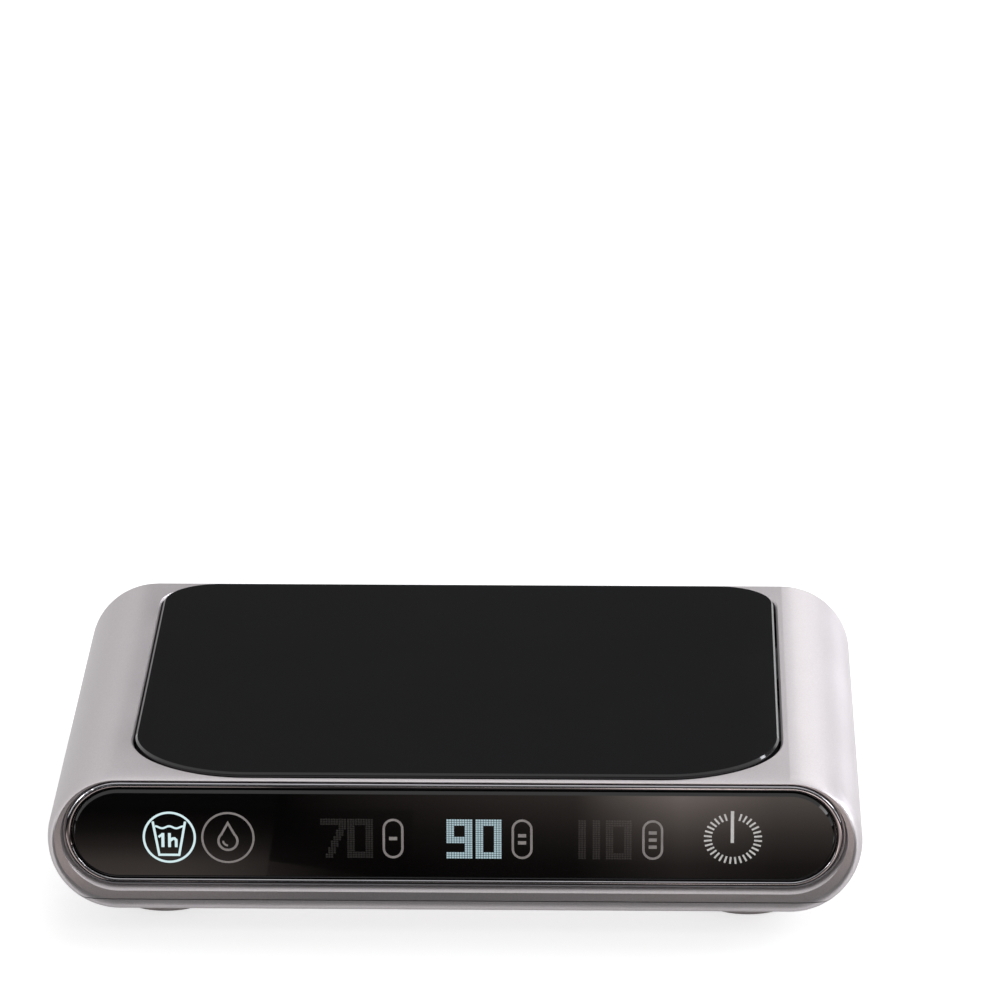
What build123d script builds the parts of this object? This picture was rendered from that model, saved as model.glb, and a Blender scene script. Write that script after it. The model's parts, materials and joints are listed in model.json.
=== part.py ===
from build123d import *
from math import cos, pi, sin, sqrt, tan
import os

# An electric mug warmer: a low silver slab with rounded sides, a floating black glass hot plate
# on top and a smoked touch panel in its front face. Millimetres. The origin is the centre of the
# footprint on the table, +Z is up, the front faces -Y and +X is to the right.

# ---------- allowances that leave no trace in the finished pieces ----------
cut = 1.0                # how far a cut runs past the face that it opens
merge = 0.5              # how far a boss or rib runs into the wall that carries it

# ---------- driving dimensions: the case ----------
body_width = 125.0
body_depth = 98.0
body_height = 22.5
wall = 2.0
back_rounding = 2.0
rim_depth = 5.9          # how far back the front edge swells out to the full section
rim_side = 1.4           # how far the front face is drawn in at its ends
rim_bottom = 2.9         # ... at the bottom
rim_top = 0.3            # ... at the top
rim_steps = 4
seam_rise = 0.1          # seam above the lower edge of the front face
seam_gap = 0.15
rib_height = 1.2
rib_thickness = 1.0
rib_clearance = 0.2
rib_side_length = 44.0
rib_front_length = 76.0

foot_height = 2.4
foot_diameter = 15.0
foot_seat = 0.6
foot_inset_x = 17.5
foot_inset_y = 16.0
foot_rounding = 0.8
seat_clearance = 0.1

cover_screw_diameter = 2.2
cover_screw_head = 3.8
cover_screw_head_height = 1.2
cover_screw_seat = 1.95   # above the underside
cover_screw_length = 9.0
cover_boss_diameter = 5.0
cover_screw_inset_x = 9.2
cover_screw_inset_y = 23.0
screw_clearance = 0.05    # round a screw in its pilot hole
through_clearance = 0.1   # round a screw, or its head, that passes through
pilot_spare = 0.5         # a pilot hole beyond its screw
recess_length = 2.2       # the cross in each screw's head
recess_width = 0.5
recess_depth = 0.7
small_edge = 0.4          # rounding or bevel of small moulded pieces

# ---------- driving dimensions: the front panel ----------
panel_side_margin = 2.75 # case outside the panel's opening at each end
panel_drop = 0.4         # ... above it
panel_rise = 5.1         # ... below it, down to the underside
panel_gap = 0.2
panel_lip = 0.8          # bevel of the opening's lower edge, which fades out towards the top
ring_seat = 0.6
ring_proud = 0.05
ring_width = 1.1
ring_rounding = 0.5
lens_proud = 0.25
lens_thickness = 1.15
lens_bevel = 0.5
lens_clearance = 0.05
tape_thickness = 0.1
tape_width = 1.6

mask_end_margin = 5.75    # from the ends of the opening to the light mask
mask_height_margin = 7.2  # height of the opening less that of the mask
mask_depth = 3.6
cell_border = 0.9         # mask left above and below its light cells, on average
diffuser_end_margin = 2.0
diffuser_border = 0.2
diffuser_thickness = 0.3
mask_drop = 0.9
symbol_drop = 0.5
display_board_thickness = 1.2
display_screw_diameter = 2.0
display_screw_head = 3.6
display_screw_head_height = 1.2
display_screw_length = 4.0
display_boss_diameter = 4.4
display_screw_inset = 8.0
display_screw_drop = 2.6
display_ear_width = 8.0
led_length = 1.6
led_width = 0.8
led_height = 0.6
led_spacing = 2.2
touch_spring_diameter = 5.0
touch_spring_wire = 0.4
touch_spring_turns = 3
touch_controller_x = 20.0

# ---------- driving dimensions: the hot plate ----------
plate_side_margin = 12.7
plate_front_margin = 1.5
plate_back_margin = 3.0
plate_front_radius = 18.0
plate_back_radius = 9.0
plate_thickness = 2.5
plate_proud = 0.5
plate_bevel = 0.3
plate_gap = 0.4
opening_bevel = 0.3
plate_travel = 0.5
stop_clearance = 0.1

bond_thickness = 0.4
bond_width = 5.0
carrier_thickness = 1.8
carrier_inset = 1.0
carrier_tab_length = 16.0
carrier_tab_reach = 1.4
carrier_tab_spread = 30.0
carrier_tab_clearance = 0.15
boss_roof = 0.5           # carrier left above a retainer screw

heater_margin = 8.75      # bare glass in front of the heat spreader and behind it
spreader_thickness = 1.5
heater_thickness = 0.5
heater_edge = 1.0         # bare edge of the spreader round the heater
heater_clearance = 0.3
pad_thickness = 2.5
pad_hole_diameter = 16.0
retainer_thickness = 0.8
retainer_rim = 2.0
retainer_ear_width = 8.0
retainer_screw_margin = 6.0
retainer_screw_diameter = 2.0
retainer_screw_head = 3.8
retainer_screw_head_height = 1.2
retainer_screw_length = 3.0
retainer_boss_diameter = 5.0
thermistor_diameter = 4.0
thermistor_height = 1.4
fuse_diameter = 3.8
fuse_length = 9.0
fuse_offset = 14.0
fuse_end_clearance = 1.0
fuse_side_clearance = 0.5
strap_thickness = 0.4
strap_width = 4.0
strap_overhang = 2.5
strap_foot = 1.5
solder_pad = 3.0
solder_pad_thickness = 0.3
solder_pad_spacing = 6.0
solder_pad_x = 4.5
thermistor_x = -3.0

# ---------- driving dimensions: guides, springs and switch ----------
guide_inset_x = 6.0
guide_inset_front = 13.5
guide_inset_back = 8.0
guide_post_diameter = 4.0
guide_post_drop = 3.3     # top of a guide post below the carrier
guide_clearance = 0.25
guide_socket_diameter = 7.2
guide_socket_length = 8.0
spring_wire = 0.6
spring_turns = 4.5
spring_clearance = 0.3

switch_length = 12.8
switch_width = 5.8
switch_height = 6.5
switch_pedestal = 1.5
switch_x = -27.6
switch_setback = 10.1    # centre of the switch behind the front face
lever_length = 13.0
lever_thickness = 0.3
lever_width = 3.6
lever_pivot_diameter = 1.0
lever_pivot_inset = 1.0
lever_press_arm = 11.0
lever_lift = 0.9
pivot_clearance = 0.05
switch_ear_wall = 0.8
plunger_arm = 5.0
plunger_diameter = 1.6
plunger_depth = 2.5
plunger_clearance = 0.05
plunger_tip = 0.3
press_clearance = 0.05
peg_diameter = 3.0

# ---------- driving dimensions: main board and its parts ----------
board_width = 68.0
board_depth = 67.0
board_thickness = 1.6
board_standoff = 2.0
board_standoff_diameter = 5.0
board_back_margin = 6.0
board_hole_inset = 4.0
board_screw_diameter = 2.0
board_screw_head = 3.8
board_screw_head_height = 1.2
board_screw_length = 3.0

inlet_width = 9.0
inlet_height = 7.2
inlet_length = 13.5
inlet_bore = 6.2
inlet_bore_depth = 10.0
inlet_pin_diameter = 2.0
inlet_hole_clearance = 0.2
inlet_contact_width = 2.0
inlet_contact_thickness = 0.3
inlet_contact_rise = 0.2  # contact above the floor of the bore
inlet_contact_clearance = 0.1
inlet_contact_inset = 0.5
inlet_lip = 1.0           # plain stretch of the bore at its mouth
inlet_end_wall = 1.0

capacitor_headroom = 1.1  # room left between the capacitor and the pressed plate
capacitor_length = 12.0
capacitor_inset_x = 15.0  # of the capacitor and the buzzer from the board's left edge
capacitor_inset_y = 13.0  # these are from the board's back edge
buzzer_inset_y = 31.0
chip_inset_y = 33.0
power_inset_x = 16.0      # of the inductor and the transistor from the board's right edge
inductor_inset_y = 15.0
transistor_inset_y = 31.0
inductor_side = 10.0
inductor_height = 4.5
inductor_corner = 1.5
transistor_length = 9.2
transistor_width = 6.6
transistor_height = 2.3
transistor_tab_length = 2.5
transistor_tab_height = 1.15
chip_side = 7.0
chip_height = 1.0
buzzer_diameter = 9.0
buzzer_height = 5.5
buzzer_hole = 1.6
buzzer_hole_depth = 1.0
connector_width = 8.0
connector_depth = 7.0
connector_height = 5.0
connector_inset_x = 8.0
connector_inset_y = 12.0
ribbon_width = 12.0
ribbon_thickness = 0.3
ribbon_connector_depth = 4.0
ribbon_connector_height = 2.2
ribbon_connector_margin = 1.0
ribbon_drop = 2.0         # display end of the ribbon below the middle of its board
ribbon_slope = 0.1        # share of the span that the ribbon takes to go down
heater_lead_diameter = 1.5
sensor_lead_diameter = 1.2
sensor_lead_spacing = 1.8
lead_straight = 10.5     # straight run of a lead into its connector

# ---------- places worked out from the sizes ----------
front = -body_depth / 2
back = body_depth / 2
underside = foot_height
top = underside + body_height
middle = underside + body_height / 2
seam = underside + rim_bottom + seam_rise
floor = underside + wall
ceiling = top - wall
front_wall = front + wall
back_wall = back - wall
end_centre = body_width / 2 - body_height / 2
rib_top = seam + rib_height
rib_x = end_centre + sqrt((body_height / 2 - wall) ** 2 - (middle - seam) ** 2) - rib_clearance

panel_width = body_width - 2 * panel_side_margin
panel_height = body_height - panel_drop - panel_rise
panel_z = top - panel_drop - panel_height / 2
lens_inset = panel_gap + ring_width
tape_front = front - lens_proud + lens_thickness
ledge_front = tape_front + tape_thickness
ledge_inset = lens_inset + tape_width

plate_width = body_width - 2 * plate_side_margin
plate_front = front + plate_front_margin
plate_back = back - plate_back_margin
plate_centre_y = (plate_front + plate_back) / 2
fuse_y = plate_centre_y + fuse_offset
plate_top = top + plate_proud
plate_bottom = plate_top - plate_thickness
recess_floor = plate_bottom - plate_travel - stop_clearance
carrier_top = plate_bottom - bond_thickness
carrier_bottom = carrier_top - carrier_thickness
heater_diameter = plate_back - plate_front - 2 * heater_margin
heater_top = plate_bottom - spreader_thickness
heater_bottom = heater_top - heater_thickness
pad_bottom = heater_bottom - pad_thickness
carrier_opening = heater_diameter + 2 * heater_clearance
retainer_bottom = pad_bottom - retainer_thickness

retainer_hole_diameter = retainer_screw_diameter + 2 * screw_clearance
retainer_ear_hole = retainer_screw_diameter + 2 * through_clearance
retainer_screw_circle = heater_diameter + 2 * retainer_screw_margin
retainer_screw_reach = retainer_screw_circle / 2 * sqrt(0.5)
retainer_screw_places = [
    (x, plate_centre_y + y)
    for x in (-retainer_screw_reach, retainer_screw_reach)
    for y in (-retainer_screw_reach, retainer_screw_reach)
]
cover_pilot_diameter = cover_screw_diameter + 2 * screw_clearance
cover_screw_x = body_width / 2 - cover_screw_inset_x
cover_screw_y = body_depth / 2 - cover_screw_inset_y
foot_x = body_width / 2 - foot_inset_x
foot_y = body_depth / 2 - foot_inset_y
screw_seat_z = underside + cover_screw_seat
cover_pilot_top = screw_seat_z + cover_screw_length + pilot_spare

guide_post_top = carrier_bottom - guide_post_drop
guide_x = plate_width / 2 - guide_inset_x
guide_front = plate_front + guide_inset_front
guide_back = plate_back - guide_inset_back
socket_bottom = carrier_bottom - guide_socket_length
guide_places = [(x, y) for y in (guide_front, guide_back) for x in (-guide_x, guide_x)]

board_bottom = floor + board_standoff
board_top = board_bottom + board_thickness
board_back = back - board_back_margin
board_front = board_back - board_depth
board_pilot_diameter = board_screw_diameter + 2 * screw_clearance
board_hole_diameter = board_screw_diameter + 2 * through_clearance
board_pilot_floor = board_top - board_screw_length - pilot_spare
board_hole_x = board_width / 2 - board_hole_inset
board_holes = [
    (x, y)
    for y in (board_front + board_hole_inset, board_back - board_hole_inset)
    for x in (-board_hole_x, board_hole_x)
]
capacitor_diameter = retainer_bottom - plate_travel - board_top - capacitor_headroom
capacitor_x = capacitor_inset_x - board_width / 2
capacitor_y = board_back - capacitor_inset_y
buzzer_y = board_back - buzzer_inset_y
chip_y = board_back - chip_inset_y
power_x = board_width / 2 - power_inset_x
inductor_y = board_back - inductor_inset_y
transistor_y = board_back - transistor_inset_y
inlet_z = board_top + inlet_height / 2
inlet_front = back_wall - inlet_length
inlet_bore_end = back_wall - inlet_bore_depth
inlet_bore_floor = inlet_z - inlet_bore / 2

diffuser_front = front_wall - diffuser_thickness
mask_back = front_wall + mask_depth
display_board_back = mask_back + display_board_thickness
mask_width = panel_width - 2 * mask_end_margin
mask_height = panel_height - mask_height_margin
mask_z = panel_z - mask_drop
mask_bottom = mask_z - mask_height / 2
mask_top = mask_z + mask_height / 2
symbol_z = panel_z - symbol_drop
cell_height = mask_height - 2 * cell_border
display_screw_z = mask_bottom - display_screw_drop
display_pilot_diameter = display_screw_diameter + 2 * screw_clearance
display_ear_hole = display_screw_diameter + 2 * through_clearance
display_pilot_end = display_board_back - display_screw_length - pilot_spare
display_screw_x = mask_width / 2 - display_screw_inset
display_screw_places = [-display_screw_x, display_screw_x]

# The light cell of each symbol along the panel: x of its centre, and its width.
symbol_cells = [
    (-44.1, 8.4),
    (-35.1, 8.4),
    (-16.9, 8.6),
    (-9.6, 3.6),
    (2.3, 9.4),
    (9.9, 3.6),
    (22.6, 9.4),
    (29.9, 3.6),
    (42.4, 9.4),
]
# A cell that is wide enough for a touch spring has one.
touch_places = [x for x, width in symbol_cells if width > touch_spring_diameter]

switch_y = front + switch_setback
switch_bottom = floor + switch_pedestal
switch_top = switch_bottom + switch_height
pivot_x = switch_x - switch_length / 2 + lever_pivot_inset
lever_bottom = switch_top + lever_lift
lever_top = lever_bottom + lever_thickness
pivot_z = lever_bottom + lever_pivot_diameter / 2
peg_x = pivot_x + lever_press_arm
peg_bottom = lever_top + press_clearance
switch_left = pivot_x - lever_pivot_inset
switch_front = switch_y - switch_width / 2
switch_back = switch_y + switch_width / 2
plunger_x = pivot_x + plunger_arm
ear_top = pivot_z + lever_pivot_diameter / 2 + switch_ear_wall

connector_x = board_width / 2 - connector_inset_x
connector_y = board_front + connector_inset_y
connector_mid = board_top + connector_height / 2


# ---------- shapes used more than once ----------
def block(x0, x1, y0, y1, z0, z1, mode=Mode.ADD):
    """A block between two opposite corners."""
    with Locations(((x0 + x1) / 2, (y0 + y1) / 2, (z0 + z1) / 2)):
        return Box(x1 - x0, y1 - y0, z1 - z0, mode=mode)


def post(x, y, z0, z1, diameter, mode=Mode.ADD):
    """An upright round post, or a bore when it is subtracted."""
    with Locations((x, y, (z0 + z1) / 2)):
        return Cylinder(diameter / 2, z1 - z0, mode=mode)


def bar(x, z, y0, y1, diameter, mode=Mode.ADD):
    """A round bar along Y, or a bore when it is subtracted."""
    with Locations((x, (y0 + y1) / 2, z)):
        return Cylinder(diameter / 2, y1 - y0, rotation=(90, 0, 0), mode=mode)


def screw(place, length, diameter, head_diameter, head_height):
    """A cross-head screw. Its head sits at place, and local Z points to its end."""
    upwards = (Align.CENTER, Align.CENTER, Align.MIN)
    downwards = (Align.CENTER, Align.CENTER, Align.MAX)
    with Locations(place):
        Cylinder(diameter / 2, length, align=upwards)
        Cylinder(head_diameter / 2, head_height, align=downwards)
        with Locations((0, 0, recess_depth / 2 - head_height)):
            Box(recess_length, recess_width, recess_depth, mode=Mode.SUBTRACT)
            Box(recess_width, recess_length, recess_depth, mode=Mode.SUBTRACT)


def corners(x, y):
    """The four places at plus and minus x and y."""
    return [(-x, -y), (x, -y), (-x, y), (x, y)]


def body_section(shrink, y):
    """Section of the body at depth y, drawn in by a share of the front rim."""
    low = underside + rim_bottom * shrink
    high = top - rim_top * shrink
    with BuildSketch(Plane.XZ.offset(-y)) as section:
        with Locations((0, (low + high) / 2)):
            SlotOverall(body_width - 2 * rim_side * shrink, high - low)
    return section.sketch


def panel_outline(inset, y):
    """Outline of the panel's opening at depth y, drawn in on all sides."""
    with BuildSketch(Plane.XZ.offset(-y)) as outline:
        with Locations((0, panel_z)):
            SlotOverall(panel_width - 2 * inset, panel_height - 2 * inset)
    return outline.sketch


def lip_outline(grow, y):
    """Outline of the panel's opening at depth y, grown at its lower side only, so that its top stays."""
    with BuildSketch(Plane.XZ.offset(-y)) as outline:
        with Locations((0, panel_z - grow / 2)):
            SlotOverall(panel_width + grow, panel_height + grow)
    return outline.sketch


def plate_outline(grow, z):
    """Outline of the hot plate at height z, grown outwards by a clearance."""
    with BuildSketch(Plane.XY.offset(z)) as outline:
        with Locations((0, plate_centre_y)):
            Rectangle(plate_width + 2 * grow, plate_back - plate_front + 2 * grow)
        fillet(outline.vertices().group_by(Axis.Y)[0], plate_front_radius + grow)
        fillet(outline.vertices().group_by(Axis.Y)[-1], plate_back_radius + grow)
    return outline.sketch


def heater_openings(z0, z1):
    """The hole for the leads and the slot for the thermal fuse, cut from a disc under the heater."""
    post(0, plate_centre_y, z0, z1, pad_hole_diameter, Mode.SUBTRACT)
    half_length = fuse_length / 2 + fuse_end_clearance
    half_width = fuse_diameter / 2 + fuse_side_clearance
    block(-half_length, half_length, fuse_y - half_width, fuse_y + half_width, z0, z1, Mode.SUBTRACT)


def lead(path_points, radii, diameter):
    """A round lead along straight runs joined by arcs, added to the open part."""
    with BuildLine() as path:
        FilletPolyline(*path_points, radius=radii)
    with BuildSketch(Plane(path.line @ 0, z_dir=path.line % 0)) as section:
        Circle(diameter / 2)
    return sweep(section.sketch, path=path.line)


def turn_radii(points):
    """The largest arc at each corner of a route: 0.45 of its shorter run over tan(half the turn)."""
    radii = []
    for before, here, after in zip(points, points[1:], points[2:]):
        run_in = Vector(here) - Vector(before)
        run_out = Vector(after) - Vector(here)
        half_turn = run_in.get_angle(run_out) * pi / 360
        radii.append(0.45 * min(run_in.length, run_out.length) / tan(half_turn))
    return radii


os.makedirs("parts", exist_ok=True)

# ---------- construction forms of the case ----------
# The outer form: an oval bar along Y whose front edge swells out from the front face.
rim_sections = []
for step in range(rim_steps + 1):
    angle = step * pi / 2 / rim_steps
    rim_sections.append(body_section(1 - sin(angle), front + rim_depth * (1 - cos(angle))))

with BuildPart() as outer_form:
    loft(rim_sections)
    extrude(body_section(0, front + rim_depth), amount=body_depth - rim_depth, dir=(0, 1, 0))
    fillet(outer_form.edges().group_by(Axis.Y)[-1], back_rounding)

# The space inside the walls.
with BuildPart() as inner_form:
    with BuildSketch(Plane.XZ.offset(-front_wall)):
        with Locations((0, middle)):
            SlotOverall(body_width - 2 * wall, body_height - 2 * wall)
    extrude(amount=-(back_wall - front_wall))

# ---------- upper housing ----------
with BuildPart() as upper_housing:
    add(outer_form.part)
    block(-body_width, body_width, front - cut, back + cut, underside - cut, seam, Mode.SUBTRACT)
    add(inner_form.part, mode=Mode.SUBTRACT)
    # Bosses for the cover screws, in the bands beside the hot plate.
    for x, y in corners(cover_screw_x, cover_screw_y):
        post(x, y, seam, ceiling + merge, cover_boss_diameter)
    # Bosses behind the front wall for the display board.
    for x in display_screw_places:
        bar(x, display_screw_z, front_wall - merge, mask_back, display_boss_diameter)
    # The hot plate's opening.
    extrude(plate_outline(plate_gap, recess_floor), amount=top - recess_floor + cut, mode=Mode.SUBTRACT)
    extrude(
        plate_outline(plate_gap, top - opening_bevel),
        amount=opening_bevel + cut,
        taper=-45,
        mode=Mode.SUBTRACT,
    )
    # The panel's seat: the ring's pocket and its lip, the lens's pocket and the window behind the lens.
    extrude(panel_outline(0, front - cut), amount=cut + ring_seat, dir=(0, 1, 0), mode=Mode.SUBTRACT)
    lip_outlines = [lip_outline(2 * panel_lip, front - panel_lip), lip_outline(0, front + panel_lip)]
    loft(lip_outlines, mode=Mode.SUBTRACT)
    extrude(
        panel_outline(lens_inset, front), amount=ledge_front - front, dir=(0, 1, 0), mode=Mode.SUBTRACT
    )
    extrude(panel_outline(ledge_inset, front), amount=wall + cut, dir=(0, 1, 0), mode=Mode.SUBTRACT)
    # Pilot holes.
    for x, y in corners(cover_screw_x, cover_screw_y):
        post(x, y, seam - cut, cover_pilot_top, cover_pilot_diameter, Mode.SUBTRACT)
    for x in display_screw_places:
        bar(x, display_screw_z, display_pilot_end, mask_back + cut, display_pilot_diameter, Mode.SUBTRACT)
    # The hole for the DC plug.
    bar(0, inlet_z, back_wall - cut, back + cut, inlet_bore + 2 * inlet_hole_clearance, Mode.SUBTRACT)
upper_housing.part.label = "upper_housing"
export_step(upper_housing.part, "parts/upper_housing.step")

# ---------- bottom cover ----------
with BuildPart() as bottom_cover:
    add(outer_form.part)
    block(-body_width, body_width, front - cut, back + cut, seam - seam_gap, top + cut, Mode.SUBTRACT)
    add(inner_form.part, mode=Mode.SUBTRACT)
    # Ribs that stand inside the housing's wall and keep the two shells in line.
    for y0 in (front_wall + rib_clearance, back_wall - rib_clearance - rib_thickness):
        block(-rib_front_length / 2, rib_front_length / 2, y0, y0 + rib_thickness, floor - merge, rib_top)
    for x0 in (-rib_x, rib_x - rib_thickness):
        block(x0, x0 + rib_thickness, -rib_side_length / 2, rib_side_length / 2, floor - merge, rib_top)
    # Screw seats in the curved edge.
    for x, y in corners(cover_screw_x, cover_screw_y):
        post(x, y, screw_seat_z, seam - seam_gap, cover_boss_diameter)
        post(x, y, underside - cut, screw_seat_z, cover_screw_head + 2 * through_clearance, Mode.SUBTRACT)
        post(x, y, underside - cut, seam + cut, cover_screw_diameter + 2 * through_clearance, Mode.SUBTRACT)
    # Guide posts of the hot plate.
    for x, y in guide_places:
        post(x, y, floor - merge, guide_post_top, guide_post_diameter)
    # Standoffs of the main board.
    for x, y in board_holes:
        post(x, y, floor - merge, board_bottom, board_standoff_diameter)
        post(x, y, board_pilot_floor, board_bottom + cut, board_pilot_diameter, Mode.SUBTRACT)
    # Pedestal of the switch.
    block(switch_left, switch_left + switch_length, switch_front, switch_back, floor - merge, switch_bottom)
    # Seats of the feet.
    for x, y in corners(foot_x, foot_y):
        post(x, y, underside - cut, underside + foot_seat, foot_diameter + 2 * seat_clearance, Mode.SUBTRACT)
bottom_cover.part.label = "bottom_cover"
export_step(bottom_cover.part, "parts/bottom_cover.step")

# ---------- feet ----------
foot_names = ["foot_front_left", "foot_front_right", "foot_rear_left", "foot_rear_right"]
for name, (x, y) in zip(foot_names, corners(foot_x, foot_y)):
    with BuildPart() as foot:
        post(x, y, 0, underside + foot_seat, foot_diameter)
        fillet(foot.edges().group_by(Axis.Z)[0], foot_rounding)
    foot.part.label = name
    export_step(foot.part, f"parts/{name}.step")

# ---------- cover screws ----------
with BuildPart() as cover_screws:
    for x, y in corners(cover_screw_x, cover_screw_y):
        seat = Location((x, y, screw_seat_z))
        screw(seat, cover_screw_length, cover_screw_diameter, cover_screw_head, cover_screw_head_height)
cover_screws.part.label = "cover_screws"
export_step(cover_screws.part, "parts/cover_screws.step")

# ---------- panel ring, lens and tape ----------
with BuildPart() as panel_ring:
    extrude(panel_outline(panel_gap, front - ring_proud), amount=ring_proud + ring_seat, dir=(0, 1, 0))
    extrude(
        panel_outline(lens_inset, front - ring_proud),
        amount=ring_proud + ring_seat,
        dir=(0, 1, 0),
        mode=Mode.SUBTRACT,
    )
    fillet(panel_ring.edges().group_by(Axis.Y)[0], ring_rounding)
panel_ring.part.label = "panel_ring"
export_step(panel_ring.part, "parts/panel_ring.step")

with BuildPart() as panel_lens:
    extrude(
        panel_outline(lens_inset + lens_clearance, front - lens_proud), amount=lens_thickness, dir=(0, 1, 0)
    )
    chamfer(panel_lens.edges().group_by(Axis.Y)[0], lens_bevel)
panel_lens.part.label = "panel_lens"
export_step(panel_lens.part, "parts/panel_lens.step")

with BuildPart() as lens_tape:
    extrude(panel_outline(lens_inset + lens_clearance, tape_front), amount=tape_thickness, dir=(0, 1, 0))
    extrude(
        panel_outline(ledge_inset, tape_front), amount=tape_thickness, dir=(0, 1, 0), mode=Mode.SUBTRACT
    )
lens_tape.part.label = "lens_tape"
export_step(lens_tape.part, "parts/lens_tape.step")

# ---------- display: diffuser, light mask, board, LEDs, touch springs, chip, screws ----------
with BuildPart() as display_diffuser:
    half_width = mask_width / 2 - diffuser_end_margin
    half_height = mask_height / 2 - diffuser_border
    block(-half_width, half_width, diffuser_front, front_wall, symbol_z - half_height, symbol_z + half_height)
display_diffuser.part.label = "display_diffuser"
export_step(display_diffuser.part, "parts/display_diffuser.step")

with BuildPart() as display_mask:
    block(-mask_width / 2, mask_width / 2, front_wall, mask_back, mask_bottom, mask_top)
    for x, width in symbol_cells:
        block(
            x - width / 2,
            x + width / 2,
            front_wall - cut,
            mask_back + cut,
            symbol_z - cell_height / 2,
            symbol_z + cell_height / 2,
            Mode.SUBTRACT,
        )
display_mask.part.label = "display_mask"
export_step(display_mask.part, "parts/display_mask.step")

with BuildPart() as display_board:
    block(-mask_width / 2, mask_width / 2, mask_back, display_board_back, mask_bottom, mask_top)
    # Ears that reach down to the screw bosses.
    for x in display_screw_places:
        block(
            x - display_ear_width / 2,
            x + display_ear_width / 2,
            mask_back,
            display_board_back,
            display_screw_z - display_boss_diameter / 2,
            mask_z,
        )
        bar(x, display_screw_z, mask_back - cut, display_board_back + cut, display_ear_hole, Mode.SUBTRACT)
display_board.part.label = "display_board"
export_step(display_board.part, "parts/display_board.step")

with BuildPart() as display_leds:
    for x, width in symbol_cells:
        for side in (-1, 1):
            if width > 2 * led_spacing:
                led_x = x + side * led_spacing / 2
                led_z = symbol_z
            else:
                led_x = x
                led_z = symbol_z + side * led_spacing / 2
            block(
                led_x - led_length / 2,
                led_x + led_length / 2,
                mask_back - led_height,
                mask_back,
                led_z - led_width / 2,
                led_z + led_width / 2,
            )
display_leds.part.label = "display_leds"
export_step(display_leds.part, "parts/display_leds.step")

with BuildPart() as touch_springs:
    spring_run = mask_depth - touch_spring_wire - 2 * press_clearance
    spring_start = front_wall + touch_spring_wire / 2 + press_clearance
    for x in touch_places:
        with BuildLine() as coil:
            Helix(
                pitch=spring_run / touch_spring_turns,
                height=spring_run,
                radius=(touch_spring_diameter - touch_spring_wire) / 2,
                center=(x, spring_start, symbol_z),
                direction=(0, 1, 0),
            )
        with BuildSketch(Plane(coil.line @ 0, z_dir=coil.line % 0)):
            Circle(touch_spring_wire / 2)
        sweep(path=coil.line, is_frenet=True)
touch_springs.part.label = "touch_springs"
export_step(touch_springs.part, "parts/touch_springs.step")

with BuildPart() as touch_controller:
    block(
        touch_controller_x - chip_side / 2,
        touch_controller_x + chip_side / 2,
        display_board_back,
        display_board_back + chip_height,
        mask_z - chip_side / 2,
        mask_z + chip_side / 2,
    )
touch_controller.part.label = "touch_controller"
export_step(touch_controller.part, "parts/touch_controller.step")

with BuildPart() as display_screws:
    for x in display_screw_places:
        screw(
            Location((x, display_board_back, display_screw_z), (90, 0, 0)),
            display_screw_length,
            display_screw_diameter,
            display_screw_head,
            display_screw_head_height,
        )
display_screws.part.label = "display_screws"
export_step(display_screws.part, "parts/display_screws.step")

# ---------- hot plate: glass, bond, carrier ----------
with BuildPart() as glass_plate:
    extrude(plate_outline(0, plate_bottom), amount=plate_thickness)
    chamfer(glass_plate.edges().group_by(Axis.Z)[-1], plate_bevel)
glass_plate.part.label = "glass_plate"
export_step(glass_plate.part, "parts/glass_plate.step")

with BuildPart() as glass_bond:
    extrude(plate_outline(-carrier_inset, carrier_top), amount=bond_thickness)
    extrude(
        plate_outline(-carrier_inset - bond_width, carrier_top), amount=bond_thickness, mode=Mode.SUBTRACT
    )
glass_bond.part.label = "glass_bond"
export_step(glass_bond.part, "parts/glass_bond.step")

with BuildPart() as plate_carrier:
    extrude(plate_outline(-carrier_inset, carrier_bottom), amount=carrier_thickness)
    # Tabs that catch under the housing's top, and stop the plate from lifting out.
    for y in (plate_centre_y - carrier_tab_spread / 2, plate_centre_y + carrier_tab_spread / 2):
        for side in (-1, 1):
            inner = side * (plate_width / 2 - carrier_inset - merge)
            outer = side * (plate_width / 2 + carrier_tab_reach)
            block(
                min(inner, outer),
                max(inner, outer),
                y - carrier_tab_length / 2,
                y + carrier_tab_length / 2,
                carrier_bottom,
                carrier_top,
            )
            lip = side * (plate_width / 2 + carrier_tab_clearance)
            block(
                min(lip, outer),
                max(lip, outer),
                y - carrier_tab_length / 2,
                y + carrier_tab_length / 2,
                carrier_bottom,
                ceiling - carrier_tab_clearance,
            )
    # Room for the heat spreader, the heater and the insulation.
    post(0, plate_centre_y, carrier_bottom - cut, carrier_top + cut, carrier_opening, Mode.SUBTRACT)
    # Bosses for the retainer.
    for x, y in retainer_screw_places:
        post(x, y, pad_bottom, carrier_bottom, retainer_boss_diameter)
        post(x, y, pad_bottom - cut, carrier_top - boss_roof, retainer_hole_diameter, Mode.SUBTRACT)
    # Sockets that slide on the guide posts.
    for x, y in guide_places:
        post(x, y, socket_bottom, carrier_bottom, guide_socket_diameter)
        post(
            x,
            y,
            socket_bottom - cut,
            guide_post_top + plate_travel + stop_clearance,
            guide_post_diameter + 2 * guide_clearance,
            Mode.SUBTRACT,
        )
    # The peg that presses the switch lever.
    post(peg_x, switch_y, peg_bottom + peg_diameter / 2, carrier_bottom, peg_diameter)
    with Locations((peg_x, switch_y, peg_bottom + peg_diameter / 2)):
        Sphere(peg_diameter / 2)
plate_carrier.part.label = "plate_carrier"
export_step(plate_carrier.part, "parts/plate_carrier.step")

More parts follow.
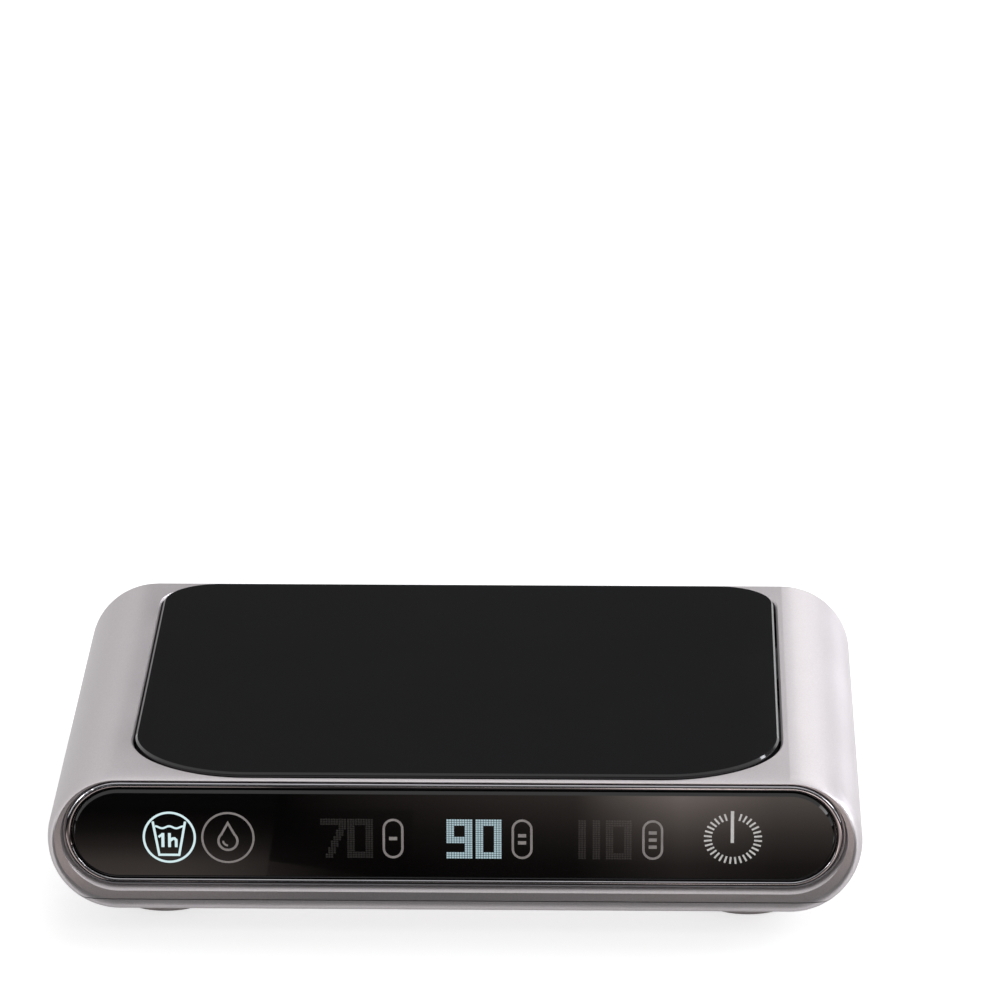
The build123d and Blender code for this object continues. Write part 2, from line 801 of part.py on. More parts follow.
# ---------- heater stack ----------
with BuildPart() as heat_spreader:
    post(0, plate_centre_y, heater_top, plate_bottom, heater_diameter)
heat_spreader.part.label = "heat_spreader"
export_step(heat_spreader.part, "parts/heat_spreader.step")

with BuildPart() as heater_element:
    post(0, plate_centre_y, heater_bottom, heater_top, heater_diameter - 2 * heater_edge)
    for side in (-1, 1):
        y = plate_centre_y + side * solder_pad_spacing / 2
        block(
            solder_pad_x - solder_pad / 2,
            solder_pad_x + solder_pad / 2,
            y - solder_pad / 2,
            y + solder_pad / 2,
            heater_bottom - solder_pad_thickness,
            heater_bottom,
        )
heater_element.part.label = "heater_element"
export_step(heater_element.part, "parts/heater_element.step")

with BuildPart() as insulation_pad:
    post(0, plate_centre_y, pad_bottom, heater_bottom, heater_diameter)
    heater_openings(pad_bottom - cut, heater_bottom + cut)
insulation_pad.part.label = "insulation_pad"
export_step(insulation_pad.part, "parts/insulation_pad.step")

with BuildPart() as heater_retainer:
    with BuildSketch(Plane.XY.offset(retainer_bottom)):
        with Locations((0, plate_centre_y)):
            Circle(heater_diameter / 2 + retainer_rim)
            # Each pair of opposite ears is the two ends of a long slot.
            for angle in (45, 135):
                SlotCenterToCenter(retainer_screw_circle, retainer_ear_width, rotation=angle)
    extrude(amount=retainer_thickness)
    heater_openings(retainer_bottom - cut, pad_bottom + cut)
    for x, y in retainer_screw_places:
        post(x, y, retainer_bottom - cut, pad_bottom + cut, retainer_ear_hole, Mode.SUBTRACT)
heater_retainer.part.label = "heater_retainer"
export_step(heater_retainer.part, "parts/heater_retainer.step")

with BuildPart() as retainer_screws:
    for x, y in retainer_screw_places:
        screw(
            Location((x, y, retainer_bottom)),
            retainer_screw_length,
            retainer_screw_diameter,
            retainer_screw_head,
            retainer_screw_head_height,
        )
retainer_screws.part.label = "retainer_screws"
export_step(retainer_screws.part, "parts/retainer_screws.step")

with BuildPart() as thermistor:
    post(thermistor_x, plate_centre_y, heater_bottom - thermistor_height, heater_bottom, thermistor_diameter)
    fillet(thermistor.edges().group_by(Axis.Z)[0], small_edge)
thermistor.part.label = "thermistor"
export_step(thermistor.part, "parts/thermistor.step")

with BuildPart() as thermal_fuse:
    with Locations((0, fuse_y, heater_bottom - fuse_diameter / 2)):
        Cylinder(fuse_diameter / 2, fuse_length, rotation=(0, 90, 0))
    fillet(thermal_fuse.edges().filter_by(GeomType.CIRCLE), small_edge)
thermal_fuse.part.label = "thermal_fuse"
export_step(thermal_fuse.part, "parts/thermal_fuse.step")

with BuildPart() as fuse_strap:
    strap_top = heater_bottom - fuse_diameter
    strap_half = fuse_diameter / 2 + strap_overhang
    block(
        -strap_width / 2,
        strap_width / 2,
        fuse_y - strap_half,
        fuse_y + strap_half,
        strap_top - strap_thickness,
        strap_top,
    )
    # Feet of the strap, up to the underside of the retainer.
    for side in (-1, 1):
        edge = fuse_y + side * strap_half
        inner_edge = edge - side * strap_foot
        block(
            -strap_width / 2,
            strap_width / 2,
            min(edge, inner_edge),
            max(edge, inner_edge),
            strap_top - strap_thickness,
            retainer_bottom,
        )
fuse_strap.part.label = "fuse_strap"
export_step(fuse_strap.part, "parts/fuse_strap.step")

# ---------- return springs and switch ----------
with BuildPart() as return_springs:
    coil_height = socket_bottom - floor - spring_wire - 2 * press_clearance
    for x, y in guide_places:
        with BuildLine() as coil:
            Helix(
                pitch=coil_height / spring_turns,
                height=coil_height,
                radius=(guide_post_diameter + spring_wire) / 2 + spring_clearance,
                center=(x, y, floor + spring_wire / 2 + press_clearance),
            )
        with BuildSketch(Plane(coil.line @ 0, z_dir=coil.line % 0)):
            Circle(spring_wire / 2)
        sweep(path=coil.line, is_frenet=True)
return_springs.part.label = "return_springs"
export_step(return_springs.part, "parts/return_springs.step")

with BuildPart() as switch_body:
    block(switch_left, switch_left + switch_length, switch_front, switch_back, switch_bottom, switch_top)
    # Two ears that hold the lever's pivot.
    for y0 in (switch_front, switch_back - switch_ear_wall):
        block(
            switch_left, pivot_x + lever_pivot_inset, y0, y0 + switch_ear_wall, switch_top - merge, ear_top
        )
    bar(
        pivot_x,
        pivot_z,
        switch_front - cut,
        switch_back + cut,
        lever_pivot_diameter + 2 * pivot_clearance,
        Mode.SUBTRACT,
    )
    post(
        plunger_x,
        switch_y,
        switch_top - plunger_depth - plate_travel,
        switch_top + cut,
        plunger_diameter + 2 * plunger_clearance,
        Mode.SUBTRACT,
    )
switch_body.part.label = "switch_body"
export_step(switch_body.part, "parts/switch_body.step")

with BuildPart() as switch_lever:
    block(
        pivot_x,
        pivot_x + lever_length,
        switch_y - lever_width / 2,
        switch_y + lever_width / 2,
        lever_bottom,
        lever_top,
    )
    bar(pivot_x, pivot_z, switch_front, switch_back, lever_pivot_diameter)
switch_lever.part.label = "switch_lever"
export_step(switch_lever.part, "parts/switch_lever.step")

with BuildPart() as switch_plunger:
    post(plunger_x, switch_y, switch_top - plunger_depth, lever_bottom - press_clearance, plunger_diameter)
    fillet(switch_plunger.edges().group_by(Axis.Z)[-1], plunger_tip)
switch_plunger.part.label = "switch_plunger"
export_step(switch_plunger.part, "parts/switch_plunger.step")

# ---------- main board and what stands on it ----------
with BuildPart() as main_board:
    block(-board_width / 2, board_width / 2, board_front, board_back, board_bottom, board_top)
    for x, y in board_holes:
        post(x, y, board_bottom - cut, board_top + cut, board_hole_diameter, Mode.SUBTRACT)
main_board.part.label = "main_board"
export_step(main_board.part, "parts/main_board.step")

with BuildPart() as board_screws:
    for x, y in board_holes:
        seat = Location((x, y, board_top), (180, 0, 0))
        screw(seat, board_screw_length, board_screw_diameter, board_screw_head, board_screw_head_height)
board_screws.part.label = "board_screws"
export_step(board_screws.part, "parts/board_screws.step")

with BuildPart() as dc_inlet_body:
    block(-inlet_width / 2, inlet_width / 2, inlet_front, back_wall, board_top, board_top + inlet_height)
    bar(0, inlet_z, inlet_bore_end, back_wall + cut, inlet_bore, Mode.SUBTRACT)
    bar(0, inlet_z, inlet_front + inlet_end_wall, back_wall, inlet_pin_diameter, Mode.SUBTRACT)
    # Slot for the contact, in the floor of the bore.
    block(
        -inlet_contact_width / 2,
        inlet_contact_width / 2,
        inlet_bore_end,
        back_wall - inlet_lip,
        board_top,
        inlet_z,
        Mode.SUBTRACT,
    )
dc_inlet_body.part.label = "dc_inlet_body"
export_step(dc_inlet_body.part, "parts/dc_inlet_body.step")

with BuildPart() as dc_inlet_pin:
    bar(0, inlet_z, inlet_front + inlet_end_wall, back_wall - inlet_lip, inlet_pin_diameter)
    fillet(dc_inlet_pin.edges().group_by(Axis.Y)[-1], small_edge)
dc_inlet_pin.part.label = "dc_inlet_pin"
export_step(dc_inlet_pin.part, "parts/dc_inlet_pin.step")

with BuildPart() as dc_inlet_contact:
    # A leaf that lies in the slot and stands up to the board at its inner end.
    leaf_back = back_wall - inlet_lip - inlet_contact_inset
    leaf_front = inlet_bore_end + inlet_contact_inset
    half = inlet_contact_width / 2 - inlet_contact_clearance
    leaf_top = inlet_bore_floor + inlet_contact_rise
    block(-half, half, leaf_front, leaf_back, leaf_top - inlet_contact_thickness, leaf_top)
    block(-half, half, leaf_front, leaf_front + inlet_contact_thickness, board_top, leaf_top)
dc_inlet_contact.part.label = "dc_inlet_contact"
export_step(dc_inlet_contact.part, "parts/dc_inlet_contact.step")

with BuildPart() as storage_capacitor:
    with Locations((capacitor_x, capacitor_y, board_top + capacitor_diameter / 2)):
        Cylinder(capacitor_diameter / 2, capacitor_length, rotation=(0, 90, 0))
    fillet(storage_capacitor.edges().filter_by(GeomType.CIRCLE), small_edge)
storage_capacitor.part.label = "storage_capacitor"
export_step(storage_capacitor.part, "parts/storage_capacitor.step")

with BuildPart() as inductor:
    with Locations((power_x, inductor_y, board_top + inductor_height / 2)):
        Box(inductor_side, inductor_side, inductor_height)
    chamfer(inductor.edges().filter_by(Axis.Z), inductor_corner)
inductor.part.label = "inductor"
export_step(inductor.part, "parts/inductor.step")

with BuildPart() as power_transistor:
    half_width = transistor_width / 2
    transistor_front = transistor_y - transistor_length / 2
    transistor_back = transistor_y + transistor_length / 2
    tab_start = transistor_back - transistor_tab_length
    transistor_top = board_top + transistor_height
    tab_top = board_top + transistor_tab_height
    block(power_x - half_width, power_x + half_width, transistor_front, tab_start, board_top, transistor_top)
    block(power_x - half_width, power_x + half_width, tab_start, transistor_back, board_top, tab_top)
power_transistor.part.label = "power_transistor"
export_step(power_transistor.part, "parts/power_transistor.step")

with BuildPart() as controller_chip:
    with Locations((0, chip_y, board_top + chip_height / 2)):
        Box(chip_side, chip_side, chip_height)
controller_chip.part.label = "controller_chip"
export_step(controller_chip.part, "parts/controller_chip.step")

with BuildPart() as buzzer:
    post(capacitor_x, buzzer_y, board_top, board_top + buzzer_height, buzzer_diameter)
    fillet(buzzer.edges().group_by(Axis.Z)[-1], small_edge)
    buzzer_top = board_top + buzzer_height
    post(capacitor_x, buzzer_y, buzzer_top - buzzer_hole_depth, buzzer_top + cut, buzzer_hole, Mode.SUBTRACT)
buzzer.part.label = "buzzer"
export_step(buzzer.part, "parts/buzzer.step")

# ---------- connectors, ribbon cable and leads ----------
for name, side in (("heater_connector", 1), ("thermistor_connector", -1)):
    with BuildPart() as connector:
        with Locations((side * connector_x, connector_y, connector_mid)):
            Box(connector_width, connector_depth, connector_height)
        chamfer(connector.edges().group_by(Axis.Z)[-1], small_edge)
    connector.part.label = name
    export_step(connector.part, f"parts/{name}.step")

ribbon_board_z = board_top + ribbon_connector_height / 2
ribbon_board_y = board_front + ribbon_connector_margin
ribbon_display_y = display_board_back + ribbon_connector_height
ribbon_display_z = mask_z - ribbon_drop
ribbon_half = ribbon_width / 2 + ribbon_connector_margin

with BuildPart() as ribbon_connector:
    block(
        -ribbon_half,
        ribbon_half,
        ribbon_board_y,
        ribbon_board_y + ribbon_connector_depth,
        board_top,
        board_top + ribbon_connector_height,
    )
ribbon_connector.part.label = "ribbon_connector"
export_step(ribbon_connector.part, "parts/ribbon_connector.step")

with BuildPart() as display_connector:
    block(
        -ribbon_half,
        ribbon_half,
        display_board_back,
        ribbon_display_y,
        ribbon_display_z - ribbon_connector_depth / 2,
        ribbon_display_z + ribbon_connector_depth / 2,
    )
display_connector.part.label = "display_connector"
export_step(display_connector.part, "parts/display_connector.step")

ribbon_span = ribbon_board_y - ribbon_display_y
ribbon_middle = (ribbon_board_y + ribbon_display_y) / 2
ribbon_route = [
    (0, ribbon_display_y, ribbon_display_z),
    (0, ribbon_middle - ribbon_slope * ribbon_span / 2, ribbon_display_z),
    (0, ribbon_middle + ribbon_slope * ribbon_span / 2, ribbon_board_z),
    (0, ribbon_board_y, ribbon_board_z),
]
with BuildPart() as ribbon_cable:
    with BuildLine() as path:
        FilletPolyline(*ribbon_route, radius=turn_radii(ribbon_route))
    with BuildSketch(Plane(path.line @ 0, x_dir=(1, 0, 0), z_dir=(0, 1, 0))):
        Rectangle(ribbon_width, ribbon_thickness)
    sweep(path=path.line)
ribbon_cable.part.label = "ribbon_cable"
export_step(ribbon_cable.part, "parts/ribbon_cable.step")

lead_fall = board_top + connector_height
lead_end = connector_x - connector_width / 2
heater_routes = []
sensor_routes = []
for side in (-1, 1):
    pad_y = plate_centre_y + side * solder_pad_spacing / 2
    end_y = connector_y + side * heater_lead_diameter
    heater_routes.append(
        [
            (solder_pad_x, pad_y, heater_bottom - solder_pad_thickness),
            (solder_pad_x, pad_y, lead_fall),
            (lead_end - lead_straight + side * heater_lead_diameter, end_y, connector_mid),
            (lead_end, end_y, connector_mid),
        ]
    )
    bead_y = plate_centre_y + side * sensor_lead_spacing / 2
    end_y = connector_y + side * sensor_lead_spacing / 2
    sensor_routes.append(
        [
            (thermistor_x, bead_y, heater_bottom - thermistor_height),
            (thermistor_x, bead_y, lead_fall),
            (lead_straight - lead_end - side * sensor_lead_spacing / 2, end_y, connector_mid),
            (-lead_end, end_y, connector_mid),
        ]
    )

with BuildPart() as heater_leads:
    for route in heater_routes:
        lead(route, turn_radii(route), heater_lead_diameter)
heater_leads.part.label = "heater_leads"
export_step(heater_leads.part, "parts/heater_leads.step")

with BuildPart() as thermistor_leads:
    for route in sensor_routes:
        lead(route, turn_radii(route), sensor_lead_diameter)
thermistor_leads.part.label = "thermistor_leads"
export_step(thermistor_leads.part, "parts/thermistor_leads.step")
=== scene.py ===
import json
import math

import bmesh
import bpy
from mathutils import Matrix, Vector

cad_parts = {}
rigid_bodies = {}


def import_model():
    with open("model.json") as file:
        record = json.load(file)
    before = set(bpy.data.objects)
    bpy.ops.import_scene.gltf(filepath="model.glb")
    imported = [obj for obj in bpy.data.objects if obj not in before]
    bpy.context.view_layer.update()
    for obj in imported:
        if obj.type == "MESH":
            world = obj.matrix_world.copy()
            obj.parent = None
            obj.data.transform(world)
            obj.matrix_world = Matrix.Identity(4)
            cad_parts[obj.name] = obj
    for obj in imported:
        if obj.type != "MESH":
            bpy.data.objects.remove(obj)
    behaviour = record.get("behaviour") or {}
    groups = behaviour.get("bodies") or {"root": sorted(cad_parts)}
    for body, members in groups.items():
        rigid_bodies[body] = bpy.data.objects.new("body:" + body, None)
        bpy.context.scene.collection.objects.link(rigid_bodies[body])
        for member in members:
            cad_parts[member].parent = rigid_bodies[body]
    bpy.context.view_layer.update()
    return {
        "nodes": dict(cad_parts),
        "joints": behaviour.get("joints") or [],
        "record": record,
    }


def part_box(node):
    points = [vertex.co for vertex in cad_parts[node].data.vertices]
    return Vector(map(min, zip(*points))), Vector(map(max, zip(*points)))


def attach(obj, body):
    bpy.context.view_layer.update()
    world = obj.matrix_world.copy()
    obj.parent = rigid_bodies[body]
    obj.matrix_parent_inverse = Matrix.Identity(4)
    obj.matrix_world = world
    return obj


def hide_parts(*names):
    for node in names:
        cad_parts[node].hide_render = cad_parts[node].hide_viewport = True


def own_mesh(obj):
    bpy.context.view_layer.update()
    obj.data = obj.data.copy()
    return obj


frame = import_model()

MM = 0.001


# ------------------------------------------------------------ nodes and colours

def linear(sheet_colour):
    """An sRGB hex colour as the linear RGBA that a shader takes."""
    channels = [int(sheet_colour[i:i + 2], 16) / 255 for i in (1, 3, 5)]
    return (*(c / 12.92 if c <= 0.04045 else ((c + 0.055) / 1.055) ** 2.4 for c in channels), 1.0)


def add(tree, kind, settings=None, links=None):
    """Adds a shader node.

    settings gives values to its sockets, by name or number, and to its own choices, such as
    operation. links gives the outputs that feed its sockets.
    """
    node = tree.nodes.new("ShaderNode" + kind)
    for name, value in (settings or {}).items():
        if isinstance(name, int) or name in node.inputs:
            node.inputs[name].default_value = value
        else:
            setattr(node, name, value)
    for name, source in (links or {}).items():
        tree.links.new(source, node.inputs[name])
    return node


class Finish:
    """One material: a Principled shader, and the patterns that vary it over the surface."""

    TEXTURES = {"clouds": "TexNoise", "grains": "TexVoronoi", "stripes": "TexWave"}
    STRIPE = math.pi / 10    # scale at which a wave texture's stripes are one unit apart
    CLOUD_DETAIL = 3.0
    USUAL = (0.3, 0.7)       # what the values of a clouds pattern mostly lie between

    def __init__(self, name, colour, **sockets):
        self.material = bpy.data.materials.new(name)
        self.material.use_nodes = True
        self.tree = self.material.node_tree
        self.shader = self.tree.nodes["Principled BSDF"]
        self.shader.inputs["Base Color"].default_value = linear(colour)
        for socket, value in sockets.items():
            self.shader.inputs[socket.replace("_", " ")].default_value = value
        self.place = add(self.tree, "TexCoord").outputs["Object"]

    def pattern(self, look, size, along=None, cut=None, **settings):
        """Soft clouds, grains of one random shade each, or soft stripes.

        They lie size millimetres apart. Where along is under 1 they are longer along that axis.
        cut sharpens them: 0 below its first value, 1 above its second.
        """
        where = self.place
        if along:
            where = add(self.tree, "Mapping", {"Scale": along}, {"Vector": where}).outputs["Vector"]
        scale = (self.STRIPE if look == "stripes" else 1) / (size * MM)
        if look == "clouds":
            settings.setdefault("Detail", self.CLOUD_DETAIL)
        texture = add(self.tree, self.TEXTURES[look], {"Scale": scale, **settings},
                      {"Vector": where})
        if look == "grains":
            shades = add(self.tree, "SeparateColor", links={"Color": texture.outputs["Color"]})
            values = shades.outputs["Red"]
        else:
            values = texture.outputs["Fac"]
        if cut:
            sharper = {"From Min": cut[0], "From Max": cut[1]}
            values = add(self.tree, "MapRange", sharper, {"Value": values}).outputs["Result"]
        return values

    def tint(self, pattern, first, last, start=USUAL[0], end=USUAL[1]):
        """Colours the surface by the pattern, from the first colour at start to the last at end."""
        ramp = add(self.tree, "ValToRGB", links={"Fac": pattern})
        for number, (place, colour) in enumerate(((start, first), (end, last))):
            ramp.color_ramp.elements[number].position = place
            ramp.color_ramp.elements[number].color = linear(colour)
        self.tree.links.new(ramp.outputs["Color"], self.shader.inputs["Base Color"])
        return self

    def rough(self, pattern, low, high):
        """Varies the roughness by the pattern."""
        spread = {"From Min": self.USUAL[0], "From Max": self.USUAL[1],
                  "To Min": low, "To Max": high}
        roughness = add(self.tree, "MapRange", spread, {"Value": pattern}).outputs["Result"]
        self.tree.links.new(roughness, self.shader.inputs["Roughness"])
        return self

    def relief(self, pattern, depth):
        """Raises the surface by the pattern, depth in millimetres, on top of any relief there."""
        bump = add(self.tree, "Bump", {"Distance": depth * MM}, {"Height": pattern})
        normal = self.shader.inputs["Normal"]
        if normal.links:
            self.tree.links.new(normal.links[0].from_socket, bump.inputs["Normal"])
        self.tree.links.new(bump.outputs["Normal"], normal)
        return self


# ------------------------------------------------------------ finishes of the case

def silver_painted_abs():
    """Satin silver lacquer on moulded ABS: it glitters softly and has a faint orange peel.

    Its aluminium flakes are drawn 0.12 mm across, coarser than real ones, so that they show.
    """
    paint = Finish("silver_painted_abs", "#CFCACC", Metallic=0.75, Specular_Tint=linear("#B0B0B0"))
    paint.tint(paint.pattern("grains", 0.12), "#CAC4C7", "#D5D0D2", start=0.0, end=1.0)
    paint.rough(paint.pattern("clouds", 18), 0.32, 0.38)
    return paint.relief(paint.pattern("clouds", 1.1, Detail=1.0), 0.004).material


def black_backed_glass():
    """Toughened glass, black behind, polished: a mirror-flat dark face with faint wiping marks."""
    glass = Finish("black_backed_glass", "#0A0A0C", IOR=1.5)
    glass.tint(glass.pattern("clouds", 40), "#09090B", "#0C0C0E")
    return glass.rough(glass.pattern("clouds", 14, along=(1, 0.4, 1)), 0.03, 0.07).material


def smoked_acrylic():
    """Moulded acrylic, smoked nearly black: glossy, with the very slow waves of a moulded sheet."""
    lens = Finish("smoked_acrylic", "#080707", IOR=1.49)
    lens.tint(lens.pattern("clouds", 30), "#070606", "#0A0909")
    lens.rough(lens.pattern("clouds", 16), 0.04, 0.07)
    return lens.relief(lens.pattern("clouds", 22, Detail=0.0), 0.004).material


def chrome_plated_abs():
    """Bright chrome on moulded ABS: a clear mirror, rippled a little by the plastic under it."""
    chrome = Finish("chrome_plated_abs", "#BDBBC0", Metallic=1.0)
    chrome.tint(chrome.pattern("clouds", 12), "#B9B7BC", "#C1BFC4")
    chrome.rough(chrome.pattern("clouds", 5), 0.05, 0.09)
    return chrome.relief(chrome.pattern("clouds", 6, Detail=1.0), 0.003).material


def silicone_rubber():
    """Moulded silicone foot: matt, a little dusty, with a fine eroded grain."""
    foot = Finish("silicone_rubber", "#BDB5B4", Roughness=0.75, IOR=1.41)
    foot.tint(foot.pattern("clouds", 3), "#B5ADAC", "#C5BDBC")
    foot.rough(foot.pattern("clouds", 1.0), 0.68, 0.82)
    return foot.relief(foot.pattern("clouds", 0.25), 0.01).material


# ------------------------------------------------------------ finishes of the inside

def zinc_plated_steel():
    """Cold-headed steel with bright zinc: greyish, with a cloudy passivated film."""
    steel = Finish("zinc_plated_steel", "#B9BABC", Metallic=1.0)
    steel.tint(steel.pattern("clouds", 1.6), "#A9ABAE", "#C6C6C4")
    steel.rough(steel.pattern("clouds", 0.8), 0.28, 0.45)
    return steel.relief(steel.pattern("clouds", 0.4), 0.006).material


def acrylic_foam_tape():
    """Black foam tape, slit from a roll: matt, with the open cells of its cut edge."""
    foam = Finish("acrylic_foam_tape", "#2A2A2A", Roughness=0.9)
    foam.tint(foam.pattern("grains", 0.3), "#232323", "#313131", start=0.0, end=1.0)
    foam.rough(foam.pattern("clouds", 2), 0.82, 0.95)
    return foam.relief(foam.pattern("grains", 0.3), 0.03).material


def milky_polycarbonate():
    """Cast polycarbonate film, matt on one side: an even milky white with a very fine tooth.

    The tooth is drawn 0.15 mm across, coarser than a real one, so that it shows.
    """
    film = Finish("milky_polycarbonate", "#EDEEF0", IOR=1.58)
    film.tint(film.pattern("clouds", 12), "#E8EAED", "#F0F1F2")
    film.rough(film.pattern("clouds", 6), 0.42, 0.52)
    return film.relief(film.pattern("clouds", 0.15), 0.002).material


def white_moulded_abs():
    """White ABS straight from the mould: half matt, with a fine eroded texture."""
    plastic = Finish("white_moulded_abs", "#E7E6E2", IOR=1.54)
    plastic.tint(plastic.pattern("clouds", 9), "#E2E1DC", "#EBEAE7")
    plastic.rough(plastic.pattern("clouds", 3), 0.4, 0.5)
    return plastic.relief(plastic.pattern("clouds", 0.3), 0.006).material


def solder_masked_board():
    """Glass-epoxy board under green solder mask: its tracks show as paler, raised lines."""
    board = Finish("solder_masked_board", "#14602F", IOR=1.55)
    across = board.pattern("stripes", 1.1, cut=(0.78, 0.86), bands_direction="X")
    along = board.pattern("stripes", 1.7, cut=(0.8, 0.88), bands_direction="Y")
    area = board.pattern("clouds", 7, cut=(0.48, 0.52), Detail=1.0)
    tracks = add(board.tree, "Mix", links={0: area, 2: across, 3: along}).outputs[0]
    board.tint(tracks, "#0F4F28", "#1C7038", start=0.0, end=1.0)
    board.rough(board.pattern("clouds", 4), 0.2, 0.32)
    return board.relief(tracks, 0.02).material


def phosphor_led():
    """White lamp package: a pale yellow gel in a white frame, slightly uneven in shade."""
    lamp = Finish("phosphor_led", "#E9D98F", IOR=1.5)
    lamp.tint(lamp.pattern("clouds", 0.8), "#E2D07E", "#F1E6B0")
    return lamp.rough(lamp.pattern("clouds", 0.5), 0.18, 0.3).material


def drawn_spring_wire():
    """Drawn spring steel, nickel-plated: bright, with fine lines left by the die.

    The lines are drawn 0.2 mm apart, coarser than real ones, so that they show.
    """
    wire = Finish("drawn_spring_wire", "#C3C1BC", Metallic=1.0)
    wire.tint(wire.pattern("clouds", 2), "#B3B0AA", "#CDCBC6")
    wire.rough(wire.pattern("clouds", 0.25, along=(1, 1, 0.2)), 0.2, 0.34)
    return wire.relief(wire.pattern("clouds", 0.2, along=(1, 1, 0.2)), 0.003).material


def moulded_epoxy():
    """Black epoxy moulding compound: dull charcoal with the sparkle of its silica filler.

    The filler is drawn 0.12 mm across, coarser than real filler, so that it shows.
    """
    case = Finish("moulded_epoxy", "#2B2B2D", IOR=1.55)
    case.tint(case.pattern("grains", 0.12), "#252527", "#363638", start=0.0, end=1.0)
    case.rough(case.pattern("clouds", 1.5), 0.5, 0.65)
    return case.relief(case.pattern("clouds", 0.12), 0.004).material


def silicone_adhesive():
    """Silicone adhesive, pressed flat between glass and carrier: off-white, uneven in shine."""
    bond = Finish("silicone_adhesive", "#BDBCB8", IOR=1.41)
    bond.tint(bond.pattern("clouds", 5), "#B3B2AD", "#C6C5C1")
    bond.rough(bond.pattern("clouds", 3), 0.35, 0.6)
    return bond.relief(bond.pattern("clouds", 1.2), 0.03).material


def glass_filled_pbt():
    """Black glass-filled PBT: half matt, with pale fibres that lie along the flow at its skin.

    The fibres are drawn 0.5 mm apart, coarser than real ones, so that they show.
    """
    plastic = Finish("glass_filled_pbt", "#343438", IOR=1.57)
    plastic.tint(plastic.pattern("clouds", 0.5, along=(0.25, 1, 1)), "#2C2C30", "#3F3F43")
    plastic.rough(plastic.pattern("clouds", 2), 0.45, 0.62)
    return plastic.relief(plastic.pattern("clouds", 0.4, along=(0.25, 1, 1)), 0.008).material


def rolled_aluminium():
    """Rolled aluminium sheet: a soft mirror with lines along the rolling direction.

    The lines are drawn 0.4 mm apart and more, coarser than real ones, so that they show.
    """
    sheet = Finish("rolled_aluminium", "#DADADB", Metallic=1.0)
    sheet.tint(sheet.pattern("clouds", 1.2, along=(0.05, 1, 1)), "#CFCFD1", "#E3E3E4")
    sheet.rough(sheet.pattern("clouds", 0.6, along=(0.03, 1, 1)), 0.24, 0.4)
    return sheet.relief(sheet.pattern("clouds", 0.4, along=(0.03, 1, 1)), 0.003).material


def etched_polyimide():
    """Etched foil between polyimide films: glossy amber, with the darker track to and fro in it."""
    foil = Finish("etched_polyimide", "#B9742B", IOR=1.7)
    track = foil.pattern("stripes", 3.2, cut=(0.42, 0.5), bands_direction="X")
    foil.tint(track, "#C07A2C", "#8A5A38", start=0.0, end=1.0)
    foil.rough(foil.pattern("clouds", 5), 0.16, 0.28)
    return foil.relief(track, 0.03).material


def ceramic_fibre_felt():
    """Felted ceramic fibre: off-white, matt, with loose strands and soft lumps."""
    felt = Finish("ceramic_fibre_felt", "#DED9CE", Roughness=0.95)
    felt.tint(felt.pattern("clouds", 1.4, Detail=8.0), "#D2CCBF", "#E9E5DC")
    felt.rough(felt.pattern("clouds", 2), 0.88, 0.98)
    felt.relief(felt.pattern("clouds", 0.35, Detail=8.0), 0.12)
    return felt.relief(felt.pattern("clouds", 4), 0.2).material


def galvanised_sheet():
    """Hot-dip galvanised sheet: each zinc crystal has its own grey."""
    sheet = Finish("galvanised_sheet", "#BABBBC", Metallic=1.0)
    sheet.tint(sheet.pattern("grains", 3.5), "#A9ABAE", "#C9CACB", start=0.0, end=1.0)
    sheet.rough(sheet.pattern("grains", 3.5), 0.3, 0.45)
    return sheet.relief(sheet.pattern("clouds", 1.5), 0.006).material


def epoxy_bead():
    """Dipped epoxy bead: near black and glossy, a little lumpy from the dip."""
    bead = Finish("epoxy_bead", "#222120", IOR=1.55)
    bead.tint(bead.pattern("clouds", 0.9), "#1B1A1A", "#2B2928")
    bead.rough(bead.pattern("clouds", 0.6), 0.12, 0.24)
    return bead.relief(bead.pattern("clouds", 0.9, Detail=1.0), 0.03).material


def tinned_case():
    """Tinned brass case: warm silver, with soft handling marks."""
    case = Finish("tinned_case", "#CBC7BF", Metallic=1.0)
    case.tint(case.pattern("clouds", 2.5), "#BDB8AE", "#D3D0C9")
    case.rough(case.pattern("clouds", 0.8, along=(0.3, 1, 1)), 0.25, 0.4)
    return case.relief(case.pattern("clouds", 0.7), 0.004).material


def black_moulded_pbt():
    """Unfilled black PBT of a socket: half gloss, smooth, with faint flow marks."""
    plastic = Finish("black_moulded_pbt", "#303032", IOR=1.57)
    plastic.tint(plastic.pattern("clouds", 5), "#2B2B2D", "#353538")
    plastic.rough(plastic.pattern("clouds", 2.2), 0.32, 0.45)
    return plastic.relief(plastic.pattern("clouds", 0.5), 0.004).material


def nickel_plated_brass():
    """Turned brass under thin nickel: pale gold-grey, with the rings of the lathe."""
    brass = Finish("nickel_plated_brass", "#D2C9AE", Metallic=1.0)
    brass.tint(brass.pattern("clouds", 1.5), "#C8BC9A", "#DAD4C2")
    brass.rough(brass.pattern("stripes", 0.25, bands_direction="Y"), 0.16, 0.3)
    return brass.relief(brass.pattern("stripes", 0.25, bands_direction="Y"), 0.002).material


def sleeved_can():
    """Shrink sleeve on an aluminium can: glossy blue-black film, drawn tight in fine wrinkles."""
    sleeve = Finish("sleeved_can", "#33343D", IOR=1.53)
    sleeve.tint(sleeve.pattern("clouds", 4), "#2C2D36", "#3B3C46")
    sleeve.rough(sleeve.pattern("clouds", 1.5), 0.2, 0.32)
    return sleeve.relief(sleeve.pattern("clouds", 1.2, along=(1, 0.3, 1)), 0.015).material


